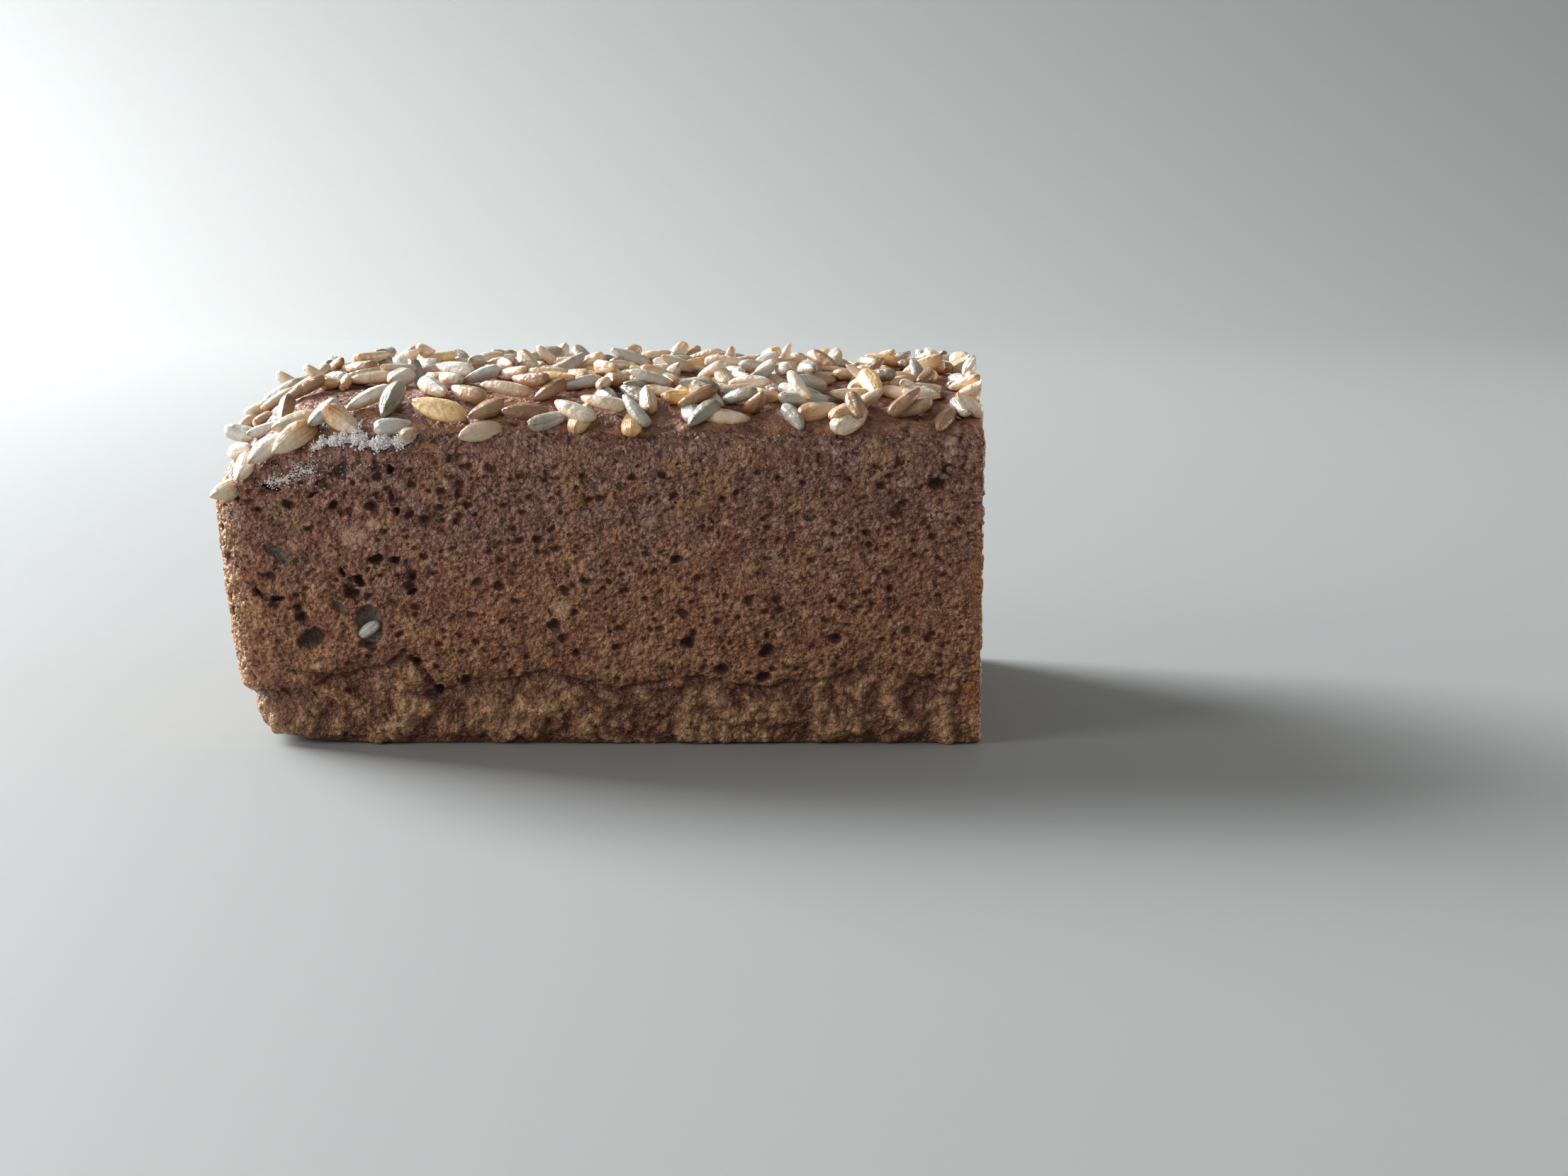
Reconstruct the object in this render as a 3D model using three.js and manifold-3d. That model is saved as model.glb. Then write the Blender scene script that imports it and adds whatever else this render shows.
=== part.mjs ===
// Seeded rye bread: the uncut half of a tin loaf, 152 mm long, with its heel at -X and the knife's cut at +X.
// Millimetres, +Z up, origin in the middle of the flat base. The body is one closed skin: a wall that runs
// from the cut along the near side, round the heel and back along the far side, a domed top and a flat base.
// Sunflower kernels are fused to the top, and pores and kernels show on the cut and in the pan crust.
import * as THREE from "three";
import { mergeVertices } from "three/addons/utils/BufferGeometryUtils.js";
import Module from "manifold-3d";

// Driving dimensions, in millimetres
const LENGTH = 152; // heel to cut
const BASE_WIDTH = 99; // side to side where the walls leave the base
const TOP_WIDTH = 104.5; // side to side at the shoulder
const SHOULDER_HEIGHT = 57; // where the pan crust turns into the top
const CROWN_HEIGHT = 70.5; // middle of the dome, without kernels
const HEEL_LEAN = 5.2; // how far the heel leans in towards its foot
const HEEL_LEAN_HEIGHT = 49; // the heel is upright above this
const HEEL_STEP = 1.9; // how far it steps in further, under a ledge
const HEEL_STEP_HEIGHT = 9.8; // height of the middle of that step
const HEEL_STEP_RUN = 1.2; // and half its height
const HEEL_CORNER_RADIUS = 9; // upright corners between the heel and the sides, in plan
const BASE_ROUNDING = 2.8; // edge between the base and the walls
const BASE_FLAT_INSET = 20; // the base is flat from here inwards
const CORNER_LIFT = 4; // how far the base curls up towards the near corner of the heel
const CORNER_LIFT_LENGTH = 15.3; // reach of that curl along the loaf
const CORNER_LIFT_WIDTH = 18; // across it
const CORNER_LIFT_HEIGHT = 24; // and up the wall
const CORNER_DROP = 10.5; // how much lower the dough stayed in the near corner of the heel
const CORNER_DROP_LENGTH = 11; // reach of that drop along the loaf
const CORNER_DROP_WIDTH = 36; // and across it
const SIDE_RUN = TOP_WIDTH / 2; // the dome rises over this distance from a side
const HEEL_RUN = 34; // and over this distance from the heel
const DOME_POWER = 2.3; // above 2 the shoulder is fuller than an ellipse
const SWELL = 0.7; // slow waves in the risen top
const WALL_SWELL = 0.45; // slow waves in the pan crust
const SHOULDER_BAND = 14; // width of the rings that carry the shoulder's curve

const KERNEL_LENGTH = 9.8; // a hulled sunflower kernel
const KERNEL_WIDTH = 4.6;
const KERNEL_THICKNESS = 2.7;
const KERNEL_WIDEST = 0.59; // place of the greatest width, from the pointed end
const KERNEL_FULLNESS = 1.28; // a section of four corners is drawn this much larger, for the oval's breadth
const TOP_KERNELS = 154; // spread by rule over the top
const RIM_KERNELS = 21; // in a row along the top edge of the heel and round its two corners
const CUT_KERNELS = 26; // bared by the knife
const CUT_PORES = 22; // the largest pores of the crumb, opened by the knife
const STANDING_SHARE = 0.07; // of the kernels, with one end raised well off the crust
const RIM_INSET = 1.8; // the row along the heel's edge lies this far inside the outline
const KERNEL_SHIFT = 4.4; // greatest move of a kernel from its place in the even spread, end to end
const BARE_BAND = 3.6; // width of the bare skin along the two sides
const BARE_BAND_START = 24; // distance from the heel where it begins
const KERNEL_ROOM = 5; // kernels with their middles nearer than this lie on one another

// The kernels by the near corner of the heel, placed one by one: distance of the middle from the heel, y,
// height, heading and rise in degrees, length and width
const CORNER_KERNELS = [
  [3.5, -51.0, 51.1, 35, 16, 6.8, 4.2],
  [7.1, -50.6, 55.6, 85, 31, 8.6, 4.6],
  [11.6, -50.4, 59.3, 50, 26, 10.2, 4.7],
  [17.0, -50.6, 61.5, 40, 28, 10.8, 5.4],
  [16.6, -47.0, 64.3, 30, 14, 10.0, 4.4],
  [22.1, -46.2, 66.0, 65, 24, 10.2, 3.8],
  [26.1, -48.2, 64.7, 156, 30, 9.6, 4.9],
  [5.6, -38.5, 61.1, 171, 9, 9.6, 4.0],
  [5.2, -43.0, 58.3, 138, -9, 7.6, 3.8],
  [10.0, -41.5, 62.2, 34, 10, 8.6, 4.0],
  [2.3, -24.0, 61.8, 87, 4, 8.6, 4.0],
  [6.9, -30.5, 63.2, 82, 2, 8.0, 4.0],
  [14.9, -27.7, 69.2, 18, 27, 9.8, 3.4],
  [13.9, -41.6, 66.0, 86, 40, 8.6, 3.4],
  [30.1, -39.6, 68.4, 32, 22, 10.6, 4.0],
  [35.0, -42.1, 68.4, 71, 38, 10.0, 4.6],
  [36.7, -47.8, 63.4, -141, 0, 9.8, 4.1],
  [44.7, -46.0, 66.8, -14, -13, 11.6, 5.0],
  [42.6, -34.1, 70.0, 125, 14, 10.2, 5.0],
  [49.5, -37.8, 69.4, -44, -8, 10.0, 4.4],
  [57.0, -35.1, 70.0, -13, -9, 10.6, 4.0],
  [53.9, -45.0, 66.5, 52, 13, 9.6, 3.9],
  [61.7, -45.1, 66.2, 22, -4, 9.6, 3.8],
  [53.4, -50.2, 62.6, 36, 7, 10.0, 4.4],
  [50.6, -21.4, 71.7, 49, 11, 10.0, 4.0],
  [44.5, -25.9, 71.4, -61, -2, 9.6, 4.0],
  [56.9, -20.3, 72.0, -45, 7, 9.6, 3.9],
  [61.4, -29.6, 71.4, -34, 2, 9.6, 4.2],
  [24.0, -11.6, 72.6, -44, 6, 9.8, 4.2],
  [28.2, -22.5, 71.2, 12, 4, 9.9, 4.0],
  [19.3, -14.4, 70.6, -52, 3, 9.6, 4.0],
  [39.4, -50.2, 62.1, 70, 0, 6.2, 3.4],
];
const CORNER_REACH_X = 64; // no other kernel lies this near the heel
const CORNER_REACH_Y = -24; // and on this side of y
const LEAN_START_Y = -36; // from here to the near side these kernels turn their broad faces outwards
const LEAN_RUN = 14; // the turn is full this much nearer
const LEAN = 0.9; // length of the outward step that is added to their crust's direction

// Hollows of the near pan crust: distance from the heel, height, half width, half height, depth
const SIDE_HOLLOWS = [
  [29.3, 24.8, 2.8, 3.9, 2.8],
  [17.7, 21.8, 2.8, 2.7, 1.3],
  [13.3, 51.7, 1.6, 1, 1.8],
  [13.1, 38.4, 2.2, 1.3, 1],
  [27, 55, 1.2, 1.2, 1.2],
  [36.5, 54.6, 1, 0.9, 1.2],
  [31.9, 37.7, 1.6, 0.8, 1.3],
  [36.1, 37.3, 1.4, 0.8, 1.2],
  [39.2, 34.2, 1.1, 0.8, 1.2],
  [26.6, 34.2, 1.9, 0.8, 1.2],
  [29.4, 30, 1.2, 1, 1.1],
  [13.5, 28.7, 1.9, 0.8, 1],
  [41.4, 10.8, 1.5, 1.2, 1.7],
];
const FURTHER_HOLLOWS = 26; // of the same kind, by rule, over the rest of the sides and the heel
const ROUND_ABOVE = 2.2; // hollows with a half size over this are round
const PIT_REACH = 1.25; // the others have eight sides, and half sizes this much longer

// Steps of the skin's grid
const SIDE_STEPS = 16;
const CORNER_STEPS = 2;
const HEEL_STEPS = 8;
const FOOT_HEIGHTS = [5.5, 8.6, 11]; // rings of the wall near its foot, at these heights
const WALL_LEVELS = [0.4, 0.56, 0.72, 0.87, 1]; // and above, at these shares of the wall's height
const ROUNDING_ANGLES = [0, 35, 68];
const SHOULDER_INSETS = [0.8, 2.6, 6, SHOULDER_BAND];

const HEEL_X = -LENGTH / 2;
const CUT_X = LENGTH / 2;

// ---- numbers by rule ----

const clamp01 = (value) => Math.min(Math.max(value, 0), 1);
const mix = (from, to, share) => from + (to - from) * share;
const fraction = (value) => value - Math.floor(value);
const smoothStep = (low, high, value) => {
  const share = clamp01((value - low) / (high - low));
  return share * share * (3 - 2 * share);
};

// A seeded stream of numbers from 0 to 1.
function seededDraws(seed) {
  let state = seed >>> 0;
  return () => {
    state = (state + 0x6d2b79f5) >>> 0;
    let mixed = Math.imul(state ^ (state >>> 15), state | 1);
    mixed ^= mixed + Math.imul(mixed ^ (mixed >>> 7), mixed | 61);
    return ((mixed ^ (mixed >>> 14)) >>> 0) / 4294967296;
  };
}

// The n-th point of an even spread over a unit square: every first stretch of it is spread evenly too.
const PLASTIC_A = 0.7548776662466927;
const PLASTIC_B = 0.5698402909980532;
const evenSpread = (n) => [fraction(0.5 + n * PLASTIC_A), fraction(0.5 + n * PLASTIC_B)];

// ---- the loaf's form ----

// Rise of the dome, 0 at the wall to 1 at the far end of its run, along a fuller quarter ellipse.
function domeShare(inset, run) {
  const left = 1 - clamp01(inset / run);
  return Math.pow(1 - Math.pow(left, DOME_POWER), 1 / DOME_POWER);
}

// Height of the shoulder line: lower, by a bell curve, round the near corner of the heel.
function shoulderHeight(x, y) {
  const alongX = (x - HEEL_X) / CORNER_DROP_LENGTH;
  const alongY = (y + TOP_WIDTH / 2) / CORNER_DROP_WIDTH;
  return SHOULDER_HEIGHT - CORNER_DROP * Math.exp(-alongX * alongX - alongY * alongY);
}

// Height of the crust's top over a place in plan.
function topHeight(x, y) {
  const shoulder = shoulderHeight(x, y);
  const share = domeShare(TOP_WIDTH / 2 - Math.abs(y), SIDE_RUN) * domeShare(x - HEEL_X, HEEL_RUN);
  const waves = Math.sin(x * 0.16 + y * 0.07 + 0.6) * Math.sin(y * 0.15 - x * 0.05 + 2.1);
  return mix(shoulder, CROWN_HEIGHT, share) + SWELL * waves * share;
}

// Half the width of the body at a height, without the base's rounding.
const halfWidthAt = (z) => mix(BASE_WIDTH, TOP_WIDTH, Math.pow(clamp01(z / SHOULDER_HEIGHT), 0.7)) / 2;

// Place of the heel's face at a height: it leans out from its foot, with a step on the way.
function heelAt(z) {
  const above = smoothStep(HEEL_STEP_HEIGHT - HEEL_STEP_RUN, HEEL_STEP_HEIGHT + HEEL_STEP_RUN, z);
  return HEEL_X + HEEL_LEAN * Math.pow(clamp01(1 - z / HEEL_LEAN_HEIGHT), 1.5) + HEEL_STEP * (1 - above);
}

// How much higher a place on the base or the wall lies because the near corner of the heel curls up.
function cornerLift(x, y, z) {
  const alongX = (x - HEEL_X) / CORNER_LIFT_LENGTH;
  const alongY = (y + BASE_WIDTH / 2) / CORNER_LIFT_WIDTH;
  const upWall = clamp01(1 - z / CORNER_LIFT_HEIGHT);
  return CORNER_LIFT * Math.exp(-alongX * alongX - alongY * alongY) * upWall * upWall;
}

// Slow waves of the pan crust, none at the shoulder or the base.
function wallWave(along, z) {
  const middle = Math.sin(Math.PI * clamp01(z / SHOULDER_HEIGHT));
  return WALL_SWELL * middle * Math.sin(along * 0.13 + 0.9) * Math.sin(z * 0.17 + along * 0.03);
}

// Outline of the body in plan: from the cut along the near side, round the heel and back along the far side.
function outline(halfWidth, heelX, radius) {
  const points = [];
  const sideEnd = heelX + radius;
  for (let i = 0; i <= SIDE_STEPS; i += 1) {
    points.push([mix(CUT_X, sideEnd, i / SIDE_STEPS), -halfWidth]);
  }
  for (let i = 1; i < CORNER_STEPS; i += 1) {
    const turn = (Math.PI / 2) * (i / CORNER_STEPS);
    points.push([sideEnd - radius * Math.sin(turn), -halfWidth + radius * (1 - Math.cos(turn))]);
  }
  for (let i = 0; i <= HEEL_STEPS; i += 1) {
    points.push([heelX, mix(-halfWidth + radius, halfWidth - radius, i / HEEL_STEPS)]);
  }
  const half = points.slice(0, SIDE_STEPS + CORNER_STEPS);
  return points.concat(half.reverse().map(([x, y]) => [x, -y]));
}

// Outline drawn in by an inset, with its corner radius reduced by as much.
function insetOutline(halfWidth, heelX, inset) {
  return outline(halfWidth - inset, heelX + inset, Math.max(HEEL_CORNER_RADIUS - inset, 0.6));
}

// The rings of the wall, from the base's flat up to the inner edge of the shoulder band.
function wallRings() {
  const lifted = ([x, y, z]) => [x, y, z + cornerLift(x, y, z)];
  const flat = insetOutline(halfWidthAt(0), heelAt(0), BASE_FLAT_INSET);
  const rings = [flat.map(([x, y]) => [x, y, 0])];
  for (const angle of ROUNDING_ANGLES) {
    const turn = (angle * Math.PI) / 180;
    const z = BASE_ROUNDING * (1 - Math.cos(turn));
    const inset = BASE_ROUNDING * (1 - Math.sin(turn));
    rings.push(insetOutline(halfWidthAt(z), heelAt(z), inset).map(([x, y]) => lifted([x, y, z])));
  }
  const shoulder = insetOutline(TOP_WIDTH / 2, HEEL_X, 0);
  const heights = (top) => [...FOOT_HEIGHTS, ...WALL_LEVELS.map((level) => level * top)];
  for (let n = 0; n < FOOT_HEIGHTS.length + WALL_LEVELS.length; n += 1) {
    rings.push(
      shoulder.map(([topX, topY], i) => {
        const z = heights(topHeight(topX, topY))[n];
        const [x, y] = insetOutline(halfWidthAt(z), heelAt(z), 0)[i];
        const onHeel = Math.abs(topY) < TOP_WIDTH / 2 - 1;
        const wave = wallWave(onHeel ? y : x, z);
        return lifted(onHeel ? [x + wave, y, z] : [x, y + wave * Math.sign(y), z]);
      }),
    );
  }
  for (const inset of SHOULDER_INSETS) {
    rings.push(insetOutline(TOP_WIDTH / 2, HEEL_X, inset).map(([x, y]) => [x, y, topHeight(x, y)]));
  }
  return rings;
}

// ---- meshes ----

// Collects corners and triangles of one closed skin.
function skin() {
  const corners = [];
  const faces = [];
  const corner = (x, y, z) => corners.push(x, y, z) / 3 - 1;
  const quad = (a, b, c, d) => faces.push(a, b, c, a, c, d);
  const geometry = () => {
    const made = new THREE.BufferGeometry();
    made.setAttribute("position", new THREE.Float32BufferAttribute(corners, 3));
    made.setIndex(faces);
    return made;
  };
  return { corner, quad, faces, geometry, corners };
}

// Fills the flat cut: an outline of existing corners, read as Y and Z, faces towards +X.
function fillCut(body, ids) {
  const points = ids.map((id) => new THREE.Vector2(body.corners[id * 3 + 1], body.corners[id * 3 + 2]));
  for (const [a, b, c] of THREE.ShapeUtils.triangulateShape(points, [])) {
    const one = points[b].clone().sub(points[a]);
    const other = points[c].clone().sub(points[a]);
    const face = [ids[a], ids[b], ids[c]];
    if (one.cross(other) < 0) face.reverse();
    body.faces.push(...face);
  }
}

// Fills the flat base: strips from the near side to the far side, and a fan at the heel.
function fillBase(body, ring) {
  const last = ring.length - 1;
  const rows = SIDE_STEPS + CORNER_STEPS / 2;
  for (let i = 1; i <= rows; i += 1) {
    body.quad(ring[i - 1], ring[i], ring[last - i], ring[last - i + 1]);
  }
  for (let i = rows + 1; i < last - rows; i += 1) {
    body.faces.push(ring[rows], ring[i], ring[i + 1]);
  }
}

// The bare body: wall rings, domed top, flat base and flat cut.
function bodyGeometry() {
  const body = skin();
  const rings = wallRings().map((ring) => ring.map((point) => body.corner(...point)));
  for (let i = 1; i < rings.length; i += 1) {
    const below = rings[i - 1];
    const above = rings[i];
    for (let j = 1; j < below.length; j += 1) {
      body.quad(below[j - 1], above[j - 1], above[j], below[j]);
    }
  }
  // The last ring is the frame of a grid over the top: its sides run along X, its heel along Y.
  const frame = rings[rings.length - 1];
  const rows = SIDE_STEPS + CORNER_STEPS / 2;
  const columns = HEEL_STEPS + CORNER_STEPS;
  const at = (id) => [body.corners[id * 3], body.corners[id * 3 + 1]];
  const grid = [];
  for (let row = 0; row <= rows; row += 1) {
    const near = frame[row];
    const far = frame[frame.length - 1 - row];
    const line = [near];
    for (let column = 1; column < columns; column += 1) {
      const share = column / columns;
      if (row === rows) {
        line.push(frame[rows + column]);
      } else {
        const [heelX, heelY] = at(frame[rows + column]);
        const x = mix(at(near)[0], mix(CUT_X, heelX, row / rows), Math.sin(Math.PI * share));
        const y = mix(mix(at(near)[1], at(far)[1], share), heelY, row / rows);
        line.push(body.corner(x, y, topHeight(x, y)));
      }
    }
    line.push(far);
    grid.push(line);
  }
  for (let row = 1; row <= rows; row += 1) {
    for (let column = 1; column <= columns; column += 1) {
      const [a, b] = [grid[row - 1][column - 1], grid[row - 1][column]];
      const [c, d] = [grid[row][column], grid[row][column - 1]];
      body.quad(a, b, c, d);
    }
  }
  fillBase(body, rings[0]);
  const nearEdge = rings.map((ring) => ring[0]);
  const farEdge = rings.map((ring) => ring[ring.length - 1]).reverse();
  fillCut(body, nearEdge.concat(grid[0].slice(1, -1), farEdge));
  return body.geometry();
}

// Share of a kernel's greatest width at a place from its pointed end, 0, to its blunt end, 1.
function kernelGirth(place) {
  const rise = Math.pow(place / KERNEL_WIDEST, 0.52);
  return rise * Math.pow((1 - place) / (1 - KERNEL_WIDEST), 0.36);
}

// A kernel along X, centred, pointed at -X: two rings of four corners between two tips.
function kernelGeometry(length, width, thickness) {
  const body = skin();
  const sides = 4;
  const places = [0.3, 0.78];
  const point = body.corner(-length / 2, 0, 0);
  const blunt = body.corner(length / 2, 0, 0);
  const rings = places.map((place) => {
    const ring = [];
    for (let side = 0; side < sides; side += 1) {
      const turn = (2 * Math.PI * (side + 0.5)) / sides;
      const girth = (KERNEL_FULLNESS * kernelGirth(place)) / 2;
      const across = width * girth * Math.cos(turn);
      const up = thickness * girth * Math.sin(turn);
      ring.push(body.corner((place - 0.5) * length, across, up));
    }
    return ring;
  });
  for (let side = 0; side < sides; side += 1) {
    const next = (side + 1) % sides;
    body.faces.push(point, rings[0][next], rings[0][side]);
    body.faces.push(blunt, rings[1][side], rings[1][next]);
    body.quad(rings[0][side], rings[0][next], rings[1][next], rings[1][side]);
  }
  return body.geometry();
}

// ---- what lies on the loaf ----

// Outward direction of the top at a place in plan.
function topNormal(x, y) {
  const step = 0.5;
  const slopeX = (topHeight(x + step, y) - topHeight(x - step, y)) / (2 * step);
  const slopeY = (topHeight(x, y + step) - topHeight(x, y - step)) / (2 * step);
  return new THREE.Vector3(-slopeX, -slopeY, 1).normalize();
}

// Turns a kernel's own axes to a heading and a tilt over a surface with the given outward direction.
function kernelPlace(centre, normal, heading, tilt) {
  const side = new THREE.Vector3(-Math.sin(heading), Math.cos(heading), 0);
  const along = new THREE.Vector3().crossVectors(side, normal).normalize();
  along.multiplyScalar(Math.cos(tilt)).addScaledVector(normal, Math.sin(tilt)).normalize();
  const across = new THREE.Vector3().crossVectors(normal, along).normalize();
  const up = new THREE.Vector3().crossVectors(along, across);
  return new THREE.Matrix4().makeBasis(along, across, up).setPosition(centre);
}

// Whether a place belongs to the kernels that are placed one by one: in their corner, or too near to one.
function amongCornerKernels(x, y) {
  const fromHeel = x - HEEL_X;
  if (fromHeel < CORNER_REACH_X && y < CORNER_REACH_Y) return true;
  return CORNER_KERNELS.some(([otherX, otherY]) => Math.hypot(fromHeel - otherX, y - otherY) < KERNEL_ROOM);
}

// The kernels that are placed one by one, each as flat to the crust as its rise and its lean let it lie.
function cornerKernelGeometries() {
  return CORNER_KERNELS.map(([fromHeel, y, z, heading, rise, length, width]) => {
    const x = HEEL_X + fromHeel;
    const turn = THREE.MathUtils.degToRad(heading);
    const lift = THREE.MathUtils.degToRad(rise);
    const flat = Math.cos(lift);
    const along = new THREE.Vector3(Math.cos(turn) * flat, Math.sin(turn) * flat, Math.sin(lift));
    const normal = topNormal(Math.max(x, HEEL_X + 0.8), y);
    normal.y -= LEAN * clamp01((LEAN_START_Y - y) / LEAN_RUN);
    const across = new THREE.Vector3().crossVectors(normal, along).normalize();
    const up = new THREE.Vector3().crossVectors(along, across);
    const place = new THREE.Matrix4().makeBasis(along, across, up).setPosition(x, y, z);
    return kernelGeometry(length, width, KERNEL_THICKNESS).applyMatrix4(place);
  });
}

// Kernels of the top, the largest first: an even spread, moved a little, a few standing on end, with bare
// patches left between them and a bare band along the sides.
function topKernels(count) {
  const draw = seededDraws(7341);
  const kernels = [];
  for (let n = 0; kernels.length < count; n += 1) {
    const [spreadX, spreadY] = evenSpread(n);
    const shiftX = KERNEL_SHIFT * (draw() - 0.5);
    const shiftY = KERNEL_SHIFT * (draw() - 0.5);
    const heading = 2 * Math.PI * draw();
    const lean = draw();
    const size = draw();
    const narrow = draw();
    const x = mix(HEEL_X + 1.2, CUT_X + 2, spreadX) + shiftX;
    const across = 2 * spreadY - 1;
    const reach = (TOP_WIDTH / 2 - 1.5) * (1 - Math.pow(1 - Math.abs(across), 1.2));
    const y = Math.sign(across) * reach + shiftY;
    const onTop = Math.abs(y) < TOP_WIDTH / 2 - 1.2 && x > HEEL_X + 0.8 && x < CUT_X + 3;
    const bareBand = Math.abs(y) > TOP_WIDTH / 2 - BARE_BAND && x > HEEL_X + BARE_BAND_START;
    const barePatch = Math.sin(x * 0.12 + 2.2) * Math.sin(y * 0.11 - 0.4) > 0.8;
    if (!onTop || bareBand || barePatch || amongCornerKernels(x, y)) continue;
    const scale = 1.14 - 0.16 * (kernels.length / count) - 0.16 * size;
    const onEnd = lean > 1 - STANDING_SHARE;
    const tilt = onEnd ? mix(0.3, 0.6, (1 - lean) / STANDING_SHARE) : mix(-0.16, 0.16, lean);
    const crowd = kernels.filter((other) => Math.hypot(other.x - x, other.y - y) < KERNEL_ROOM).length;
    const lift = KERNEL_THICKNESS * (0.24 + 0.32 * Math.min(crowd, 2)) + 2 * Math.abs(Math.sin(tilt));
    kernels.push({ x, y, heading, tilt, scale, slim: mix(0.9, 1.14, narrow), lift });
  }
  return kernels;
}

// Kernels in a row along the heel's top edge, from one side round both corners to the other.
function rimKernels(count) {
  const draw = seededDraws(2203);
  const kernels = [];
  const side = 16; // stretch of each long side that the row covers
  const end = TOP_WIDTH / 2 - RIM_INSET;
  const turn = HEEL_CORNER_RADIUS - RIM_INSET;
  const arc = (Math.PI / 2) * turn;
  const straight = 2 * (end - turn);
  const total = 2 * side + 2 * arc + straight;
  for (let n = 0; n < count; n += 1) {
    const along = (total * (n + 0.5)) / count;
    const mirrored = along > total / 2;
    const from = mirrored ? total - along : along;
    let x = HEEL_X + HEEL_CORNER_RADIUS + side - from;
    let y = -end;
    let heading = Math.PI;
    if (from > side + arc) {
      x = HEEL_X + RIM_INSET;
      y = -end + turn + (from - side - arc);
      heading = Math.PI / 2;
    } else if (from > side) {
      const angle = (from - side) / turn;
      x = HEEL_X + HEEL_CORNER_RADIUS - turn * Math.sin(angle);
      y = -end + turn * (1 - Math.cos(angle));
      heading = Math.PI - angle;
    }
    heading += 0.9 * (draw() - 0.5);
    const scale = mix(0.86, 1.06, draw());
    const lift = KERNEL_THICKNESS * mix(0.1, 0.4, draw());
    if (mirrored) {
      y = -y;
      heading = Math.PI - heading;
    }
    if (!amongCornerKernels(x, y)) kernels.push({ x, y, heading, tilt: 0, scale, slim: 1.05, lift });
  }
  return kernels;
}

function topKernelGeometries() {
  const kernels = [...rimKernels(RIM_KERNELS), ...topKernels(TOP_KERNELS)];
  const spread = kernels.map(({ x, y, heading, tilt, scale, slim, lift }) => {
    const normal = topNormal(x, y);
    const centre = new THREE.Vector3(x, y, topHeight(x, y)).addScaledVector(normal, lift);
    const width = KERNEL_WIDTH * scale * slim;
    const shape = kernelGeometry(KERNEL_LENGTH * scale, width, KERNEL_THICKNESS * scale);
    return shape.applyMatrix4(kernelPlace(centre, normal, heading, tilt));
  });
  return [...cornerKernelGeometries(), ...spread];
}

// Places on the cut, clear of the crust: an even spread, moved a little.
function cutPlaces(count, seed, offset) {
  const draw = seededDraws(seed);
  const places = [];
  for (let n = offset; places.length < count; n += 1) {
    const [spreadY, spreadZ] = evenSpread(n);
    const y = (TOP_WIDTH - 14) * (spreadY - 0.5) + 5 * (draw() - 0.5);
    const z = mix(6, CROWN_HEIGHT - 5, spreadZ) + 5 * (draw() - 0.5);
    const turn = Math.PI * draw();
    const size = draw();
    if (z < topHeight(CUT_X, y) - 5 && z > 4.5) places.push({ y, z, turn, size });
  }
  return places;
}

// Kernels that the knife laid bare: they lie in the plane of the cut and bulge from it a little.
function cutKernelGeometries() {
  const outward = new THREE.Vector3(1, 0, 0);
  return cutPlaces(CUT_KERNELS, 911, 0).map(({ y, z, turn, size }) => {
    const scale = mix(1.05, 0.8, size);
    const along = new THREE.Vector3(0, Math.cos(turn), Math.sin(turn));
    const across = new THREE.Vector3().crossVectors(outward, along);
    const place = new THREE.Matrix4().makeBasis(along, across, outward);
    place.setPosition(CUT_X - KERNEL_THICKNESS * scale * 0.2, y, z);
    const shape = kernelGeometry(
      KERNEL_LENGTH * 0.86 * scale,
      KERNEL_WIDTH * 0.9 * scale,
      KERNEL_THICKNESS * scale,
    );
    return shape.applyMatrix4(place);
  });
}

// A hollow of given half sizes, to be cut from the body: round where it is large, else a plain pit of eight
// sides, whose half sizes are longer for the same opening.
function hollow(centre, halfSizes) {
  const round = Math.max(...halfSizes) > ROUND_ABOVE;
  const made = round ? new THREE.IcosahedronGeometry(1, 0) : new THREE.OctahedronGeometry(PIT_REACH, 0);
  return made.scale(...halfSizes).translate(...centre);
}

// Larger pores of the crumb, opened by the knife.
function cutPores() {
  return cutPlaces(CUT_PORES, 477, 300).map(({ y, z, size }) => {
    const half = mix(2.3, 1, size);
    return hollow([CUT_X + 0.3, y, z], [half, half * 1.1, half * 0.8]);
  });
}

// Hollows of the pan crust: the listed ones, and further ones by rule over the rest of it.
function crustHollows() {
  const made = SIDE_HOLLOWS.map(([along, z, wide, high, deep]) => {
    const x = HEEL_X + along;
    return hollow([x, -halfWidthAt(z) - wallWave(x, z), z], [wide, deep, high]);
  });
  const draw = seededDraws(5501);
  for (let n = 0; n < FURTHER_HOLLOWS; n += 1) {
    const [spread, level] = evenSpread(n);
    const z = mix(9, SHOULDER_HEIGHT - 5, level);
    const wide = mix(1, 2.2, draw());
    const high = wide * mix(0.5, 0.9, draw());
    const deep = mix(0.9, 1.7, draw());
    const side = n % 5;
    if (side < 2) {
      const x = HEEL_X + mix(48, LENGTH - 5, spread);
      made.push(hollow([x, -halfWidthAt(z) - wallWave(x, z), z], [wide, deep, high]));
    } else if (side < 4) {
      const x = HEEL_X + mix(10, LENGTH - 5, spread);
      made.push(hollow([x, halfWidthAt(z) + wallWave(x, z), z], [wide, deep, high]));
    } else {
      const y = mix(-36, 36, spread);
      made.push(hollow([heelAt(z) + wallWave(y, z), y, z], [deep, wide, high]));
    }
  }
  return made;
}

// ---- joining ----

const wasm = await Module();
wasm.setup();

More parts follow.
